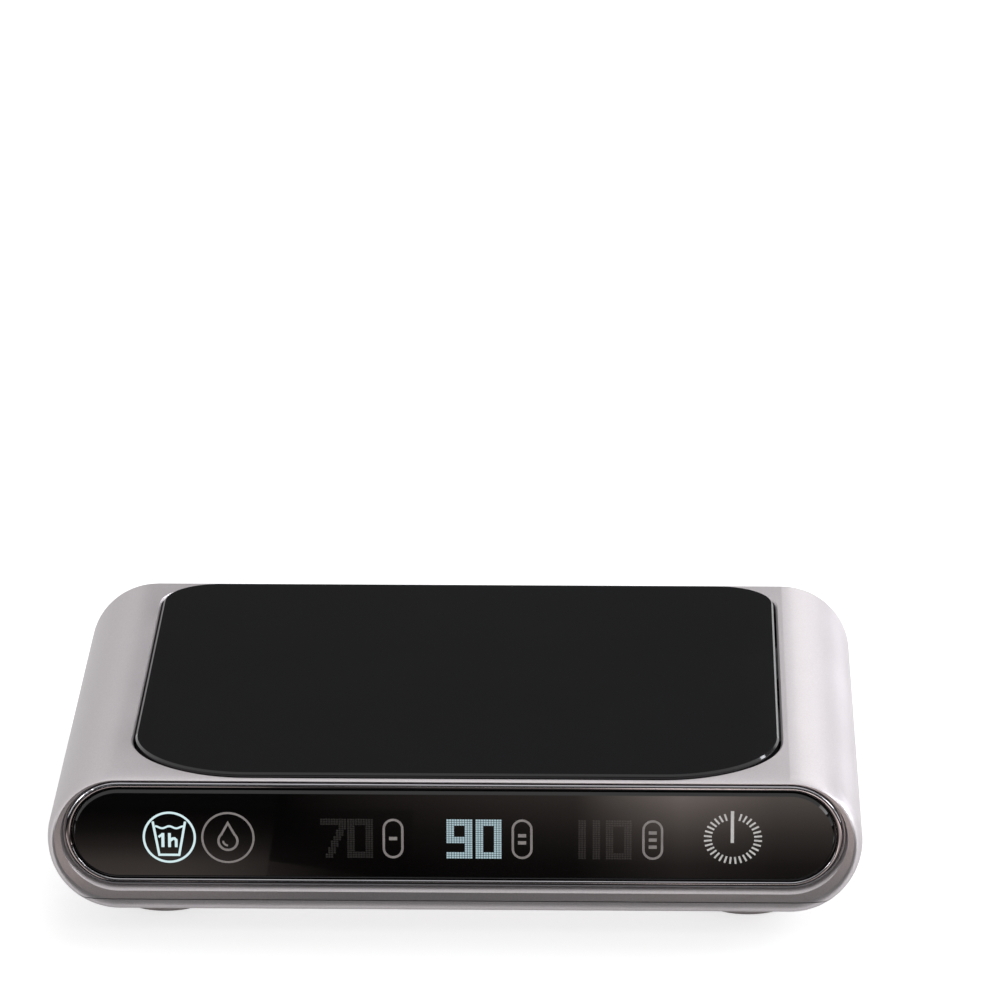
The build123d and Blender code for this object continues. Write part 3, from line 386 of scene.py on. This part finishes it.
def sintered_ferrite():
    """Pressed and sintered ferrite: dull dark grey with a stony grain.

    The grain is drawn 0.25 mm across, coarser than a real one, so that it shows.
    """
    core = Finish("sintered_ferrite", "#4A4A4A", IOR=1.6)
    core.tint(core.pattern("grains", 0.25), "#414141", "#545454", start=0.0, end=1.0)
    core.rough(core.pattern("clouds", 0.8), 0.55, 0.75)
    return core.relief(core.pattern("grains", 0.25), 0.012).material


def natural_nylon():
    """Unpigmented nylon of a connector: creamy, half gloss, a little cloudy."""
    nylon = Finish("natural_nylon", "#E8E4D6", IOR=1.53)
    nylon.tint(nylon.pattern("clouds", 1.6), "#E2DDCC", "#EDEADF")
    nylon.rough(nylon.pattern("clouds", 1.0), 0.32, 0.45)
    return nylon.relief(nylon.pattern("clouds", 0.5), 0.006).material


def flat_flexible_cable():
    """Flat cable between white films: the conductors show as faint grey stripes and low ridges."""
    cable = Finish("flat_flexible_cable", "#E3E3E1", IOR=1.6)
    conductors = cable.pattern("stripes", 1.0, bands_direction="X")
    cable.tint(conductors, "#E9E9E7", "#CFD0D0", start=0.35, end=0.65)
    cable.rough(cable.pattern("clouds", 3), 0.25, 0.38)
    return cable.relief(conductors, 0.03).material


def red_silicone_sleeve():
    """Extruded silicone wire cover, red: soft sheen, dusted with talc."""
    cover = Finish("red_silicone_sleeve", "#B4302A", IOR=1.41)
    cover.tint(cover.pattern("clouds", 1.2), "#A82A25", "#C04A42")
    cover.rough(cover.pattern("clouds", 0.7), 0.5, 0.68)
    return cover.relief(cover.pattern("clouds", 0.5), 0.008).material


def black_silicone_sleeve():
    """The same cover in black, on the thinner wires."""
    cover = Finish("black_silicone_sleeve", "#303030", IOR=1.41)
    cover.tint(cover.pattern("clouds", 0.9), "#292929", "#3C3B3B")
    cover.rough(cover.pattern("clouds", 0.6), 0.5, 0.68)
    return cover.relief(cover.pattern("clouds", 0.4), 0.006).material


# ------------------------------------------------------------ finishes of the symbols

def lit_symbol():
    """White light through the milky film behind the lens: an even pale cyan glow."""
    return Finish("lit_symbol", "#101416", Roughness=0.4,
                  Emission_Color=linear("#D9F1F4"), Emission_Strength=0.95).material


def lit_numeral():
    """The same light through the cells of a numeral, which dims it."""
    return Finish("lit_numeral", "#101416", Roughness=0.4,
                  Emission_Color=linear("#B9D3DB"), Emission_Strength=0.8).material


def grey_print():
    """Screen-printed translucent ink on the back of the lens: a soft warm grey."""
    ink = Finish("grey_print", "#A9A2A0", Roughness=0.5)
    ink.tint(ink.pattern("clouds", 2), "#A19A98", "#B1AAA8")
    return ink.material


def pale_print():
    """The same ink over a white base, brighter."""
    ink = Finish("pale_print", "#F2EFED", Roughness=0.5)
    ink.tint(ink.pattern("clouds", 2), "#ECE9E7", "#F7F5F3")
    return ink.material


def unlit_numeral():
    """The cells of a numeral whose lamps are off: barely lighter than the lens."""
    cell = Finish("unlit_numeral", "#3A3736", Roughness=0.08, IOR=1.49)
    cell.tint(cell.pattern("clouds", 2), "#363332", "#3E3B3A")
    return cell.material


FINISHES = {
    "silver_shell": silver_painted_abs,
    "black_glass": black_backed_glass,
    "smoked_lens": smoked_acrylic,
    "chrome_ring": chrome_plated_abs,
    "rubber_foot": silicone_rubber,
    "steel_screw": zinc_plated_steel,
    "tape": acrylic_foam_tape,
    "diffuser_film": milky_polycarbonate,
    "white_plastic": white_moulded_abs,
    "circuit_board": solder_masked_board,
    "led": phosphor_led,
    "spring_steel": drawn_spring_wire,
    "chip": moulded_epoxy,
    "silicone": silicone_adhesive,
    "heat_plastic": glass_filled_pbt,
    "aluminium_plate": rolled_aluminium,
    "heater_foil": etched_polyimide,
    "insulation": ceramic_fibre_felt,
    "steel_sheet": galvanised_sheet,
    "sensor_bead": epoxy_bead,
    "fuse_case": tinned_case,
    "inlet_plastic": black_moulded_pbt,
    "contact_brass": nickel_plated_brass,
    "capacitor_can": sleeved_can,
    "ferrite": sintered_ferrite,
    "connector_plastic": natural_nylon,
    "ribbon": flat_flexible_cable,
    "heater_wire": red_silicone_sleeve,
    "sensor_wire": black_silicone_sleeve,
}
made = {slot: finish() for slot, finish in FINISHES.items()}
SLOTS = {part["node"]: part["material_slot"] for part in frame["record"]["subparts"]}
for node, slot in SLOTS.items():
    for holder in frame["nodes"][node].material_slots:
        holder.material = made[slot]


# ------------------------------------------------------------ springs and leads under the plate

def shortened(node, joint):
    """Replaces a node with a copy of its mesh, which rides on the joint's parent where the node
    was.
    """
    copy = bpy.data.objects.new("flexing_" + node, frame["nodes"][node].data.copy())
    bpy.context.collection.objects.link(copy)
    for holder in copy.material_slots:
        holder.material = made[SLOTS[node]]
    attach(copy, joint["parent"])
    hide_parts(node)
    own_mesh(copy)


for joint in frame["joints"]:
    for flexing in joint.get("deforming_nodes", []):
        shortened(flexing["node"], joint)


# ------------------------------------------------------------ symbols on the panel

# The real symbols lie behind the smoked lens. The lens is drawn opaque, so they are let into
# its face instead.

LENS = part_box("panel_lens")
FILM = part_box("display_diffuser")    # the film that glows behind the lens
LENS_FACE = LENS[0][1] / MM          # where the lens's outer face lies along Y
LENS_MIDDLE = (LENS[0][0] + LENS[1][0]) / 2 / MM
ROW_RISE = 0.02                      # how far the row of symbols lies above the film's middle
ROW = (FILM[0][2] + FILM[1][2]) / 2 / MM + ROW_RISE

PRINT_SINK = 0.02           # how far a symbol is let into the lens
PRINT_RISE = 0.02           # how far it stands out of it
PRINT_STEP = 0.005          # by how much a stroke that crosses another lies lower
MITRE_LIMIT = 0.5           # a sharp corner reaches out by at most a whole stroke's width
RING_STEPS = 72

TILE = (0.4, 0.355)         # width and height of one light cell of a numeral
TILE_GAP = 0.08             # dark line between two cells
NUMERAL_ROWS = 18           # of cells, from the foot of a numeral to its top

MARK = (1.42, 3.03)         # half width and half height of a level mark
MARK_BAR = (1.24, 0.54)     # width and height of a bar in it
MARK_PITCH = 1.15           # from one bar to the next
MARK_END_STEPS = 12         # in the half circle at each end

TIMER_RING = (3.9, 3.98)    # half width and half height
WATER_START = -2.16         # left end of the water line
WATER_LEVEL = 1.62
WAVE_HEIGHT = 0.17
WAVE_STEP = 0.18            # from one point of the water line to the next
WAVE_STEPS = 12             # in each of its two waves

REMINDER_RING = (3.92, 3.98)
DROP_RADIUS = 1.45
DROP_MIDDLE = -0.55
DROP_TIP = 2.35
DROP_STEPS = 32             # in its round part, which is three quarters of a circle
DROP_SHINE = 0.72           # radius of the gleam in the drop

TICKS = 30
TICKS_RISE = 0.32           # how far the middle of the ring of ticks lies above the row
TICK_START = 106.9          # bearing of the first tick, left of the gap at the top
TICK_TURN = 11.25           # from one tick to the next, in degrees
TICK_REACH = (3.0, 4.12)    # where a tick starts and ends
TICKS_WIDER = 1.08          # by which the ring of ticks is wider than high


class Symbol:
    """One symbol of the panel: flat strokes on the lens, all in one mesh.

    Its points are x and z in millimetres from its own middle, which is on the row, x to the
    right of the lens's middle.
    """

    def __init__(self, name, finish, x, z=ROW):
        self.name = name
        self.finish = finish
        self.middle = Vector((LENS_MIDDLE + x, z))
        self.shape = bmesh.new()

    def stroke(self, points, width, closed=False, drop=0.0):
        """A ribbon of that width along the points, with mitred corners."""
        spots = [Vector(point) for point in points]
        runs = [(after - here).normalized() for here, after in zip(spots, spots[1:] + spots[:1])]
        if not closed:
            runs[-1] = runs[-2]
        front, back = LENS_FACE - PRINT_RISE + drop, LENS_FACE + PRINT_SINK
        rings = []
        for number, spot in enumerate(spots):
            out = runs[number]
            into = runs[number - 1] if number or closed else out
            mitre = Vector((-into.y - out.y, into.x + out.x)).normalized()
            reach = width / 2 / max(MITRE_LIMIT, mitre.dot(Vector((-into.y, into.x))))
            left, right = (self.middle + spot + side * reach * mitre for side in (1, -1))
            corners = ((left, front), (right, front), (right, back), (left, back))
            rings.append([self.shape.verts.new((flat.x * MM, depth * MM, flat.y * MM))
                          for flat, depth in corners])
        for near, far in zip(rings, rings[1:] + (rings[:1] if closed else [])):
            for edge in range(4):
                self.shape.faces.new((near[edge], near[edge - 1], far[edge - 1], far[edge]))
        if not closed:
            self.shape.faces.new(rings[0])
            self.shape.faces.new(reversed(rings[-1]))

    def loop(self, reach, width):
        """A closed ring of ribbon; reach is half its width and half its height, at mid-ribbon."""
        angles = [2 * math.pi * step / RING_STEPS for step in range(RING_STEPS)]
        spots = [(reach[0] * math.cos(a), reach[1] * math.sin(a)) for a in angles]
        self.stroke(spots, width, closed=True)

    def block(self, low, high):
        """A filled rectangle between two corners."""
        middle = (low[1] + high[1]) / 2
        self.stroke([(low[0], middle), (high[0], middle)], high[1] - low[1])

    def done(self):
        """Turns the strokes into a piece that rides on the case."""
        bmesh.ops.recalc_face_normals(self.shape, faces=self.shape.faces)
        mesh = bpy.data.meshes.new(self.name)
        self.shape.to_mesh(mesh)
        self.shape.free()
        mesh.materials.append(self.finish)
        piece = bpy.data.objects.new(self.name, mesh)
        bpy.context.collection.objects.link(piece)
        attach(piece, "base")


# Each digit as rectangles of cells: first column, first row, last column, last row.
LEG_OF_SEVEN = []
LEG_ROWS = 15
LEG_WIDTH = 3               # in cells
LEG_SLANT = 5               # cells to the right on its way up
for row in range(LEG_ROWS):
    column = 2 + round(row * LEG_SLANT / (LEG_ROWS - 1))
    LEG_OF_SEVEN.append((column, row, column + LEG_WIDTH, row + 1))
DIGITS = {
    "0": [(0, 0, 10, 3), (0, 15, 10, 18), (0, 3, 3, 15), (7, 3, 10, 15)],
    "1": [(0, 0, 3, 18)],
    "7": [(0, 15, 10, 18)] + LEG_OF_SEVEN,
    "9": [(0, 0, 10, 3), (7, 3, 10, 7), (0, 7, 10, 10), (0, 10, 3, 15), (7, 10, 10, 15),
          (0, 15, 10, 18)],
}


def numeral(name, finish, digits):
    """A number of small light cells with dark lines between them.

    Each digit comes with the place of its left edge.
    """
    symbol = Symbol(name, finish, x=0.0)
    for digit, left in digits:
        for first_column, first_row, last_column, last_row in DIGITS[digit]:
            for column in range(first_column, last_column):
                for row in range(first_row, last_row):
                    low = (left + column * TILE[0] + TILE_GAP / 2,
                           (row - NUMERAL_ROWS / 2) * TILE[1] + TILE_GAP / 2)
                    symbol.block(low, (low[0] + TILE[0] - TILE_GAP, low[1] + TILE[1] - TILE_GAP))
    symbol.done()


def level_mark(number, x, finish):
    """An upright slot with one, two or three bars in it, for low, middle and high heat."""
    symbol = Symbol(f"level_mark_{number}", finish, x)
    straight = MARK[1] - MARK[0]
    turn = [math.pi * step / MARK_END_STEPS for step in range(MARK_END_STEPS + 1)]
    slot = [(end * MARK[0] * math.cos(a), end * (straight + MARK[0] * math.sin(a)))
            for end in (1, -1) for a in turn]
    symbol.stroke(slot, width=0.36, closed=True)
    for bar in range(number):
        level = MARK_PITCH * (bar - (number - 1) / 2)
        symbol.block((-MARK_BAR[0] / 2, level - MARK_BAR[1] / 2),
                     (MARK_BAR[0] / 2, level + MARK_BAR[1] / 2))
    symbol.done()


def timer_symbol(finish):
    """A ring with a tumbler in it, its water line, and 1h for one hour."""
    symbol = Symbol("timer_symbol", finish, x=-43.46)
    symbol.loop(TIMER_RING, width=0.34)
    tumbler = [(-2.52, 2.55), (-1.56, -2.85), (1.48, -2.85), (2.44, 2.55)]
    symbol.stroke(tumbler, width=0.36, drop=PRINT_STEP)
    water = [(WATER_START + WAVE_STEP * step,
              WATER_LEVEL + WAVE_HEIGHT * math.cos(2 * math.pi * step / WAVE_STEPS))
             for step in range(2 * WAVE_STEPS + 1)]
    symbol.stroke(water, width=0.31, drop=2 * PRINT_STEP)
    flag_of_one = [(-1.64, 0.02), (-1.04, 0.5)]
    symbol.stroke(flag_of_one, width=0.36, drop=PRINT_STEP)
    foot, top = -1.6, 0.68
    stem_of_one, stem_of_h = (-1.22, -0.76), (-0.2, 0.24)
    for left, right in (stem_of_one, stem_of_h):
        symbol.block((left, foot), (right, top))
    arch_of_h = [(0.16, -0.55), (0.46, -0.23), (0.8, -0.2), (1.04, -0.45), (1.04, foot)]
    symbol.stroke(arch_of_h, width=0.42, drop=PRINT_STEP)
    symbol.done()


def reminder_symbol(finish):
    """A ring with a water drop in it, to remind someone to drink."""
    symbol = Symbol("reminder_symbol", finish, x=-34.5)
    symbol.loop(REMINDER_RING, width=0.32)
    belly = [math.radians(-225 + 270 * step / DROP_STEPS) for step in range(DROP_STEPS + 1)]
    outline = [(DROP_RADIUS * math.cos(a), DROP_MIDDLE + DROP_RADIUS * math.sin(a)) for a in belly]
    symbol.stroke(outline + [(0, DROP_TIP)], width=0.36, closed=True)
    lower_left = [math.radians(angle) for angle in range(180, 271, 15)]
    shine = [(DROP_SHINE * math.cos(a), DROP_MIDDLE + DROP_SHINE * math.sin(a)) for a in lower_left]
    symbol.stroke(shine, width=0.3)
    symbol.done()


def power_symbol(finish):
    """A ring of short ticks, open at the top, with an upright bar."""
    ring = Symbol("power_ring", finish, x=42.6, z=ROW + TICKS_RISE)
    for tick in range(TICKS):
        bearing = math.radians(TICK_START + TICK_TURN * tick)
        ring.stroke([(reach * math.cos(bearing) * TICKS_WIDER, reach * math.sin(bearing))
                     for reach in TICK_REACH], width=0.29)
    ring.done()
    bar = Symbol("power_bar", finish, x=42.5)
    bar.stroke([(0, -0.4), (0, 4.75)], width=0.5)
    bar.done()


grey, lit, off = grey_print(), lit_numeral(), unlit_numeral()
timer_symbol(lit_symbol())
reminder_symbol(grey)
numeral("numeral_70", off, [("7", -20.4), ("0", -16.3)])
numeral("numeral_90", lit, [("9", -1.13), ("0", 3.32)])
numeral("numeral_110", off, [("1", 19.0), ("1", 21.17), ("0", 23.18)])
for number, x in ((1, -9.26), (2, 10.44), (3, 30.37)):
    level_mark(number, x, grey)
power_symbol(pale_print())


# ------------------------------------------------------------ camera

CAMERA_PLACE = (0.030883, -1.105896, 0.399823)
CAMERA_TURN = (1.286, 17.344, -0.107)    # degrees: to the left, down, and about its own axis

camera_data = bpy.data.cameras.new("camera")
camera_data.lens = 265.02
camera_data.sensor_width = 36.0
camera = bpy.data.objects.new("camera", camera_data)
bpy.context.collection.objects.link(camera)
yaw, pitch, roll = (math.radians(angle) for angle in CAMERA_TURN)
forward = Vector((-math.sin(yaw) * math.cos(pitch), math.cos(yaw) * math.cos(pitch),
                  -math.sin(pitch)))
level = Vector((math.cos(yaw), math.sin(yaw), 0.0))
upright = level.cross(forward)
right = math.cos(roll) * level + math.sin(roll) * upright
up = math.cos(roll) * upright - math.sin(roll) * level
turn = Matrix((right, up, -forward)).transposed().to_4x4()
camera.matrix_world = Matrix.Translation(CAMERA_PLACE) @ turn
bpy.context.scene.camera = camera


# ------------------------------------------------------------ studio

WHITE = (1.0, 1.0, 1.0, 1.0)
COOL = (0.93, 0.95, 1.0)
WARM = (1.0, 0.84, 0.77)
AIM = Vector((0.0, 0.0, 0.01))    # near the middle of the object; the lamps face it
FLOOR_RADIUS = 5.0
FLOOR_GLOW = 0.68                 # what the white paper adds to the light that it reflects
WALL_STEPS = 64                   # flat strips in a curved card


def placed(name, shape, material):
    """A mesh object of the studio from a bmesh, with one material."""
    mesh = bpy.data.meshes.new(name)
    shape.to_mesh(mesh)
    shape.free()
    mesh.materials.append(material)
    thing = bpy.data.objects.new(name, mesh)
    bpy.context.collection.objects.link(thing)
    return thing


def softbox(name, place, size, watts, colour=(1.0, 1.0, 1.0)):
    """A soft rectangular lamp at place, turned to face the object. Cameras don't see it."""
    lamp = bpy.data.lights.new(name, "AREA")
    lamp.shape = "RECTANGLE"
    lamp.size, lamp.size_y = size
    lamp.energy = watts
    lamp.color = colour
    holder = bpy.data.objects.new(name, lamp)
    bpy.context.collection.objects.link(holder)
    away = Vector(place) - AIM
    turn = away.to_track_quat("Z", "Y").to_matrix().to_4x4()
    holder.matrix_world = Matrix.Translation(place) @ turn
    holder.visible_camera = False
    return holder


def shown_white(tree):
    """1 for rays that show the background: to the camera, by way of a mirror, through glass."""
    path = add(tree, "LightPath")
    shown = path.outputs["Is Camera Ray"]
    for kind in ("Is Glossy Ray", "Is Transmission Ray"):
        links = {0: shown, 1: path.outputs[kind]}
        shown = add(tree, "Math", {"operation": "MAXIMUM"}, links).outputs[0]
    return shown


# The first two lighten the paint. Mirrors don't see them, so the chrome and the lens stay dark.
key = softbox("key_above", place=(0.2, 0.5, 1.2), size=(1.2, 0.8), watts=7)
fill = softbox("fill_front", place=(0.6, -1.1, 0.35), size=(1.0, 0.6), watts=0.9)
key.visible_glossy = fill.visible_glossy = False
softbox("side_right", place=(1.1, 0.8, 0.45), size=(0.9, 0.6), watts=14.5, colour=COOL)

# The room: white to look at, and a soft light from above that is a little stronger on the right.
world = bpy.data.worlds.new("studio")
bpy.context.scene.world = world
world.use_nodes = True
tree = world.node_tree
direction = add(tree, "SeparateXYZ", links={"Vector": add(tree, "TexCoord").outputs["Generated"]})
above = add(tree, "MapRange", {"From Min": 0.0, "From Max": 1.0, "To Min": 0.35, "To Max": 0.8},
            {"Value": direction.outputs["Z"]})
side = add(tree, "MapRange", {"From Min": -1.0, "From Max": 1.0, "To Min": 0.8, "To Max": 1.2},
           {"Value": direction.outputs["X"]})
strength = add(tree, "Math", {"operation": "MULTIPLY"}, {0: above.outputs[0], 1: side.outputs[0]})
room = tree.nodes["Background"]
room.inputs["Color"].default_value = WHITE
tree.links.new(strength.outputs[0], room.inputs["Strength"])
white = add(tree, "Background", {"Color": WHITE})
seen = add(tree, "MixShader", links={0: shown_white(tree), 1: room.outputs[0], 2: white.outputs[0]})
tree.links.new(seen.outputs[0], tree.nodes["World Output"].inputs["Surface"])

# The floor: a white paper sweep that keeps a faint shadow. From below it is clear, so that the
# object's underside shows.
sweep = Finish("white_paper_sweep", "#BBBBBB", Roughness=0.9, Specular_IOR_Level=0.0)
tree = sweep.tree
strength = add(tree, "Math", {"operation": "MULTIPLY", 1: FLOOR_GLOW}, {0: shown_white(tree)})
glow = add(tree, "Emission", {"Color": WHITE}, {"Strength": strength.outputs[0]})
paper = add(tree, "AddShader", links={0: sweep.shader.outputs[0], 1: glow.outputs[0]})
from_below = add(tree, "NewGeometry").outputs["Backfacing"]
clear = add(tree, "BsdfTransparent").outputs[0]
seen = add(tree, "MixShader", links={0: from_below, 1: paper.outputs[0], 2: clear})
tree.links.new(seen.outputs[0], tree.nodes["Material Output"].inputs["Surface"])
disc = bmesh.new()
bmesh.ops.create_circle(disc, cap_ends=True, radius=FLOOR_RADIUS, segments=96)
placed("floor", disc, sweep.material)


# Cards that only mirrors see, set round the object as in a studio for glossy products.

def card(name, sheet, bands, colour=(1.0, 1.0, 1.0)):
    """A glowing card of that shape. Each band varies its light along an axis.

    A band is an axis and its stops, each a place in metres and the light there. Bands multiply.
    """
    paper = bpy.data.materials.new(name)
    paper.use_nodes = True
    tree = paper.node_tree
    tree.nodes.remove(tree.nodes["Principled BSDF"])
    where = add(tree, "SeparateXYZ", links={"Vector": add(tree, "TexCoord").outputs["Object"]})
    strength = None
    for axis, stops in bands:
        first, last = stops[0][0], stops[-1][0]
        share = add(tree, "MapRange", {"From Min": first, "From Max": last},
                    {"Value": where.outputs[axis]})
        ramp = add(tree, "ValToRGB", links={"Fac": share.outputs[0]})
        marks = ramp.color_ramp.elements
        while len(marks) < len(stops):
            marks.new(0.5)
        for number, (place, light) in enumerate(stops):
            marks[number].position = (place - first) / (last - first)
            marks[number].color = (light, light, light, 1)
        band = ramp.outputs["Color"]
        if strength:
            band = add(tree, "Math", {"operation": "MULTIPLY"}, {0: strength, 1: band}).outputs[0]
        strength = band
    shine = add(tree, "Emission", {"Color": (*colour, 1)}, {"Strength": strength})
    tree.links.new(shine.outputs[0], tree.nodes["Material Output"].inputs["Surface"])
    thing = placed(name, sheet, paper)
    for ray in ("camera", "diffuse", "transmission", "shadow", "volume_scatter"):
        setattr(thing, "visible_" + ray, False)


def lying(left, right, near, far, height):
    """A card that lies flat. near and far are its edges along Y, as the camera sees it."""
    sheet = bmesh.new()
    corners = ((left, near), (right, near), (right, far), (left, far))
    sheet.faces.new([sheet.verts.new((x, y, height)) for x, y in corners])
    return sheet


def curved(radius, low, high, start, end):
    """An upright wall round the object between two bearings; 0 is at the front, 90 on the right."""
    sheet = bmesh.new()
    columns = []
    for step in range(WALL_STEPS + 1):
        bearing = math.radians(start + (end - start) * step / WALL_STEPS)
        x, y = radius * math.sin(bearing), -radius * math.cos(bearing)
        columns.append([sheet.verts.new((x, y, z)) for z in (low, high)])
    for near, far in zip(columns, columns[1:]):
        sheet.faces.new((near[0], far[0], far[1], near[1]))
    return sheet


# In front of the panel lies a black card, which keeps the chrome crisp and the lens dark. It
# brightens at its far edge, by the object, for the lower side of the ring. Two soft warm gleams
# lie on it, one for the right of the lens and one for its lower left.
card("black_card", lying(left=-0.5, right=0.5, near=-0.5, far=-0.0485, height=0.0003),
     [("X", [(-0.5, 0.01), (0.5, 0.03)]),
      ("Y", [(-0.5, 1.0), (-0.0565, 1.0), (-0.0525, 6.0), (-0.0485, 25.0)])])
card("right_gleam", lying(left=-0.03, right=0.1, near=-0.1155, far=-0.0705, height=0.0005),
     [("X", [(-0.03, 0.0), (0.0, 0.19), (0.018, 0.29), (0.035, 1.6), (0.05, 0.9), (0.1, 0.7)]),
      ("Y", [(-0.1155, 0.0), (-0.1135, 2.4), (-0.104, 1.5), (-0.094, 0.8), (-0.086, 0.45),
             (-0.079, 0.22), (-0.0705, 0.16)])], WARM)
card("left_gleam", lying(left=-0.09, right=-0.008, near=-0.104, far=-0.0712, height=0.0005),
     [("X", [(-0.09, 1.0), (-0.045, 1.0), (-0.036, 0.75), (-0.028, 0.4), (-0.02, 0.12),
             (-0.008, 0.0)]),
      ("Y", [(-0.104, 0.0), (-0.0938, 0.1), (-0.0864, 0.35), (-0.0794, 0.85),
             (-0.0712, 1.1)])], WARM)

# A dark wall stands in front, for the chrome, with a bright card at its right end and a small one
# at its left for the ring's arcs. Behind, a dark band just above the horizon keeps the glass black.
# It is light on the left, for the flank there, and bright right of the middle, for the palest
# paint.
card("front_wall", curved(radius=0.9, low=0.0, high=0.9, start=-50, end=50),
     [("Z", [(0.0, 0.03), (0.16, 0.05), (0.5, 0.12), (0.75, 0.35), (0.9, 0.7)]),
      ("X", [(-0.69, 3.0), (-0.5, 1.0), (0.5, 1.0), (0.69, 3.0)])])
card("bright_right", curved(radius=0.8, low=0.24, high=0.5, start=50, end=78),
     [("Z", [(0.24, 5.0), (0.5, 3.0)])])
card("glint_left", curved(radius=0.8, low=0.22, high=0.4, start=-66, end=-56),
     [("Z", [(0.22, 8.0), (0.4, 8.0)])])
card("dark_band", curved(radius=1.0, low=0.22, high=0.5, start=50, end=310),
     [("X", [(-1.0, 1.0), (-0.3, 1.0), (-0.16, 0.06), (0.075, 0.06), (0.14, 2.5), (0.4, 2.5),
             (0.65, 0.2), (1.0, 0.2)])])

bpy.context.scene.view_settings.view_transform = "Standard"
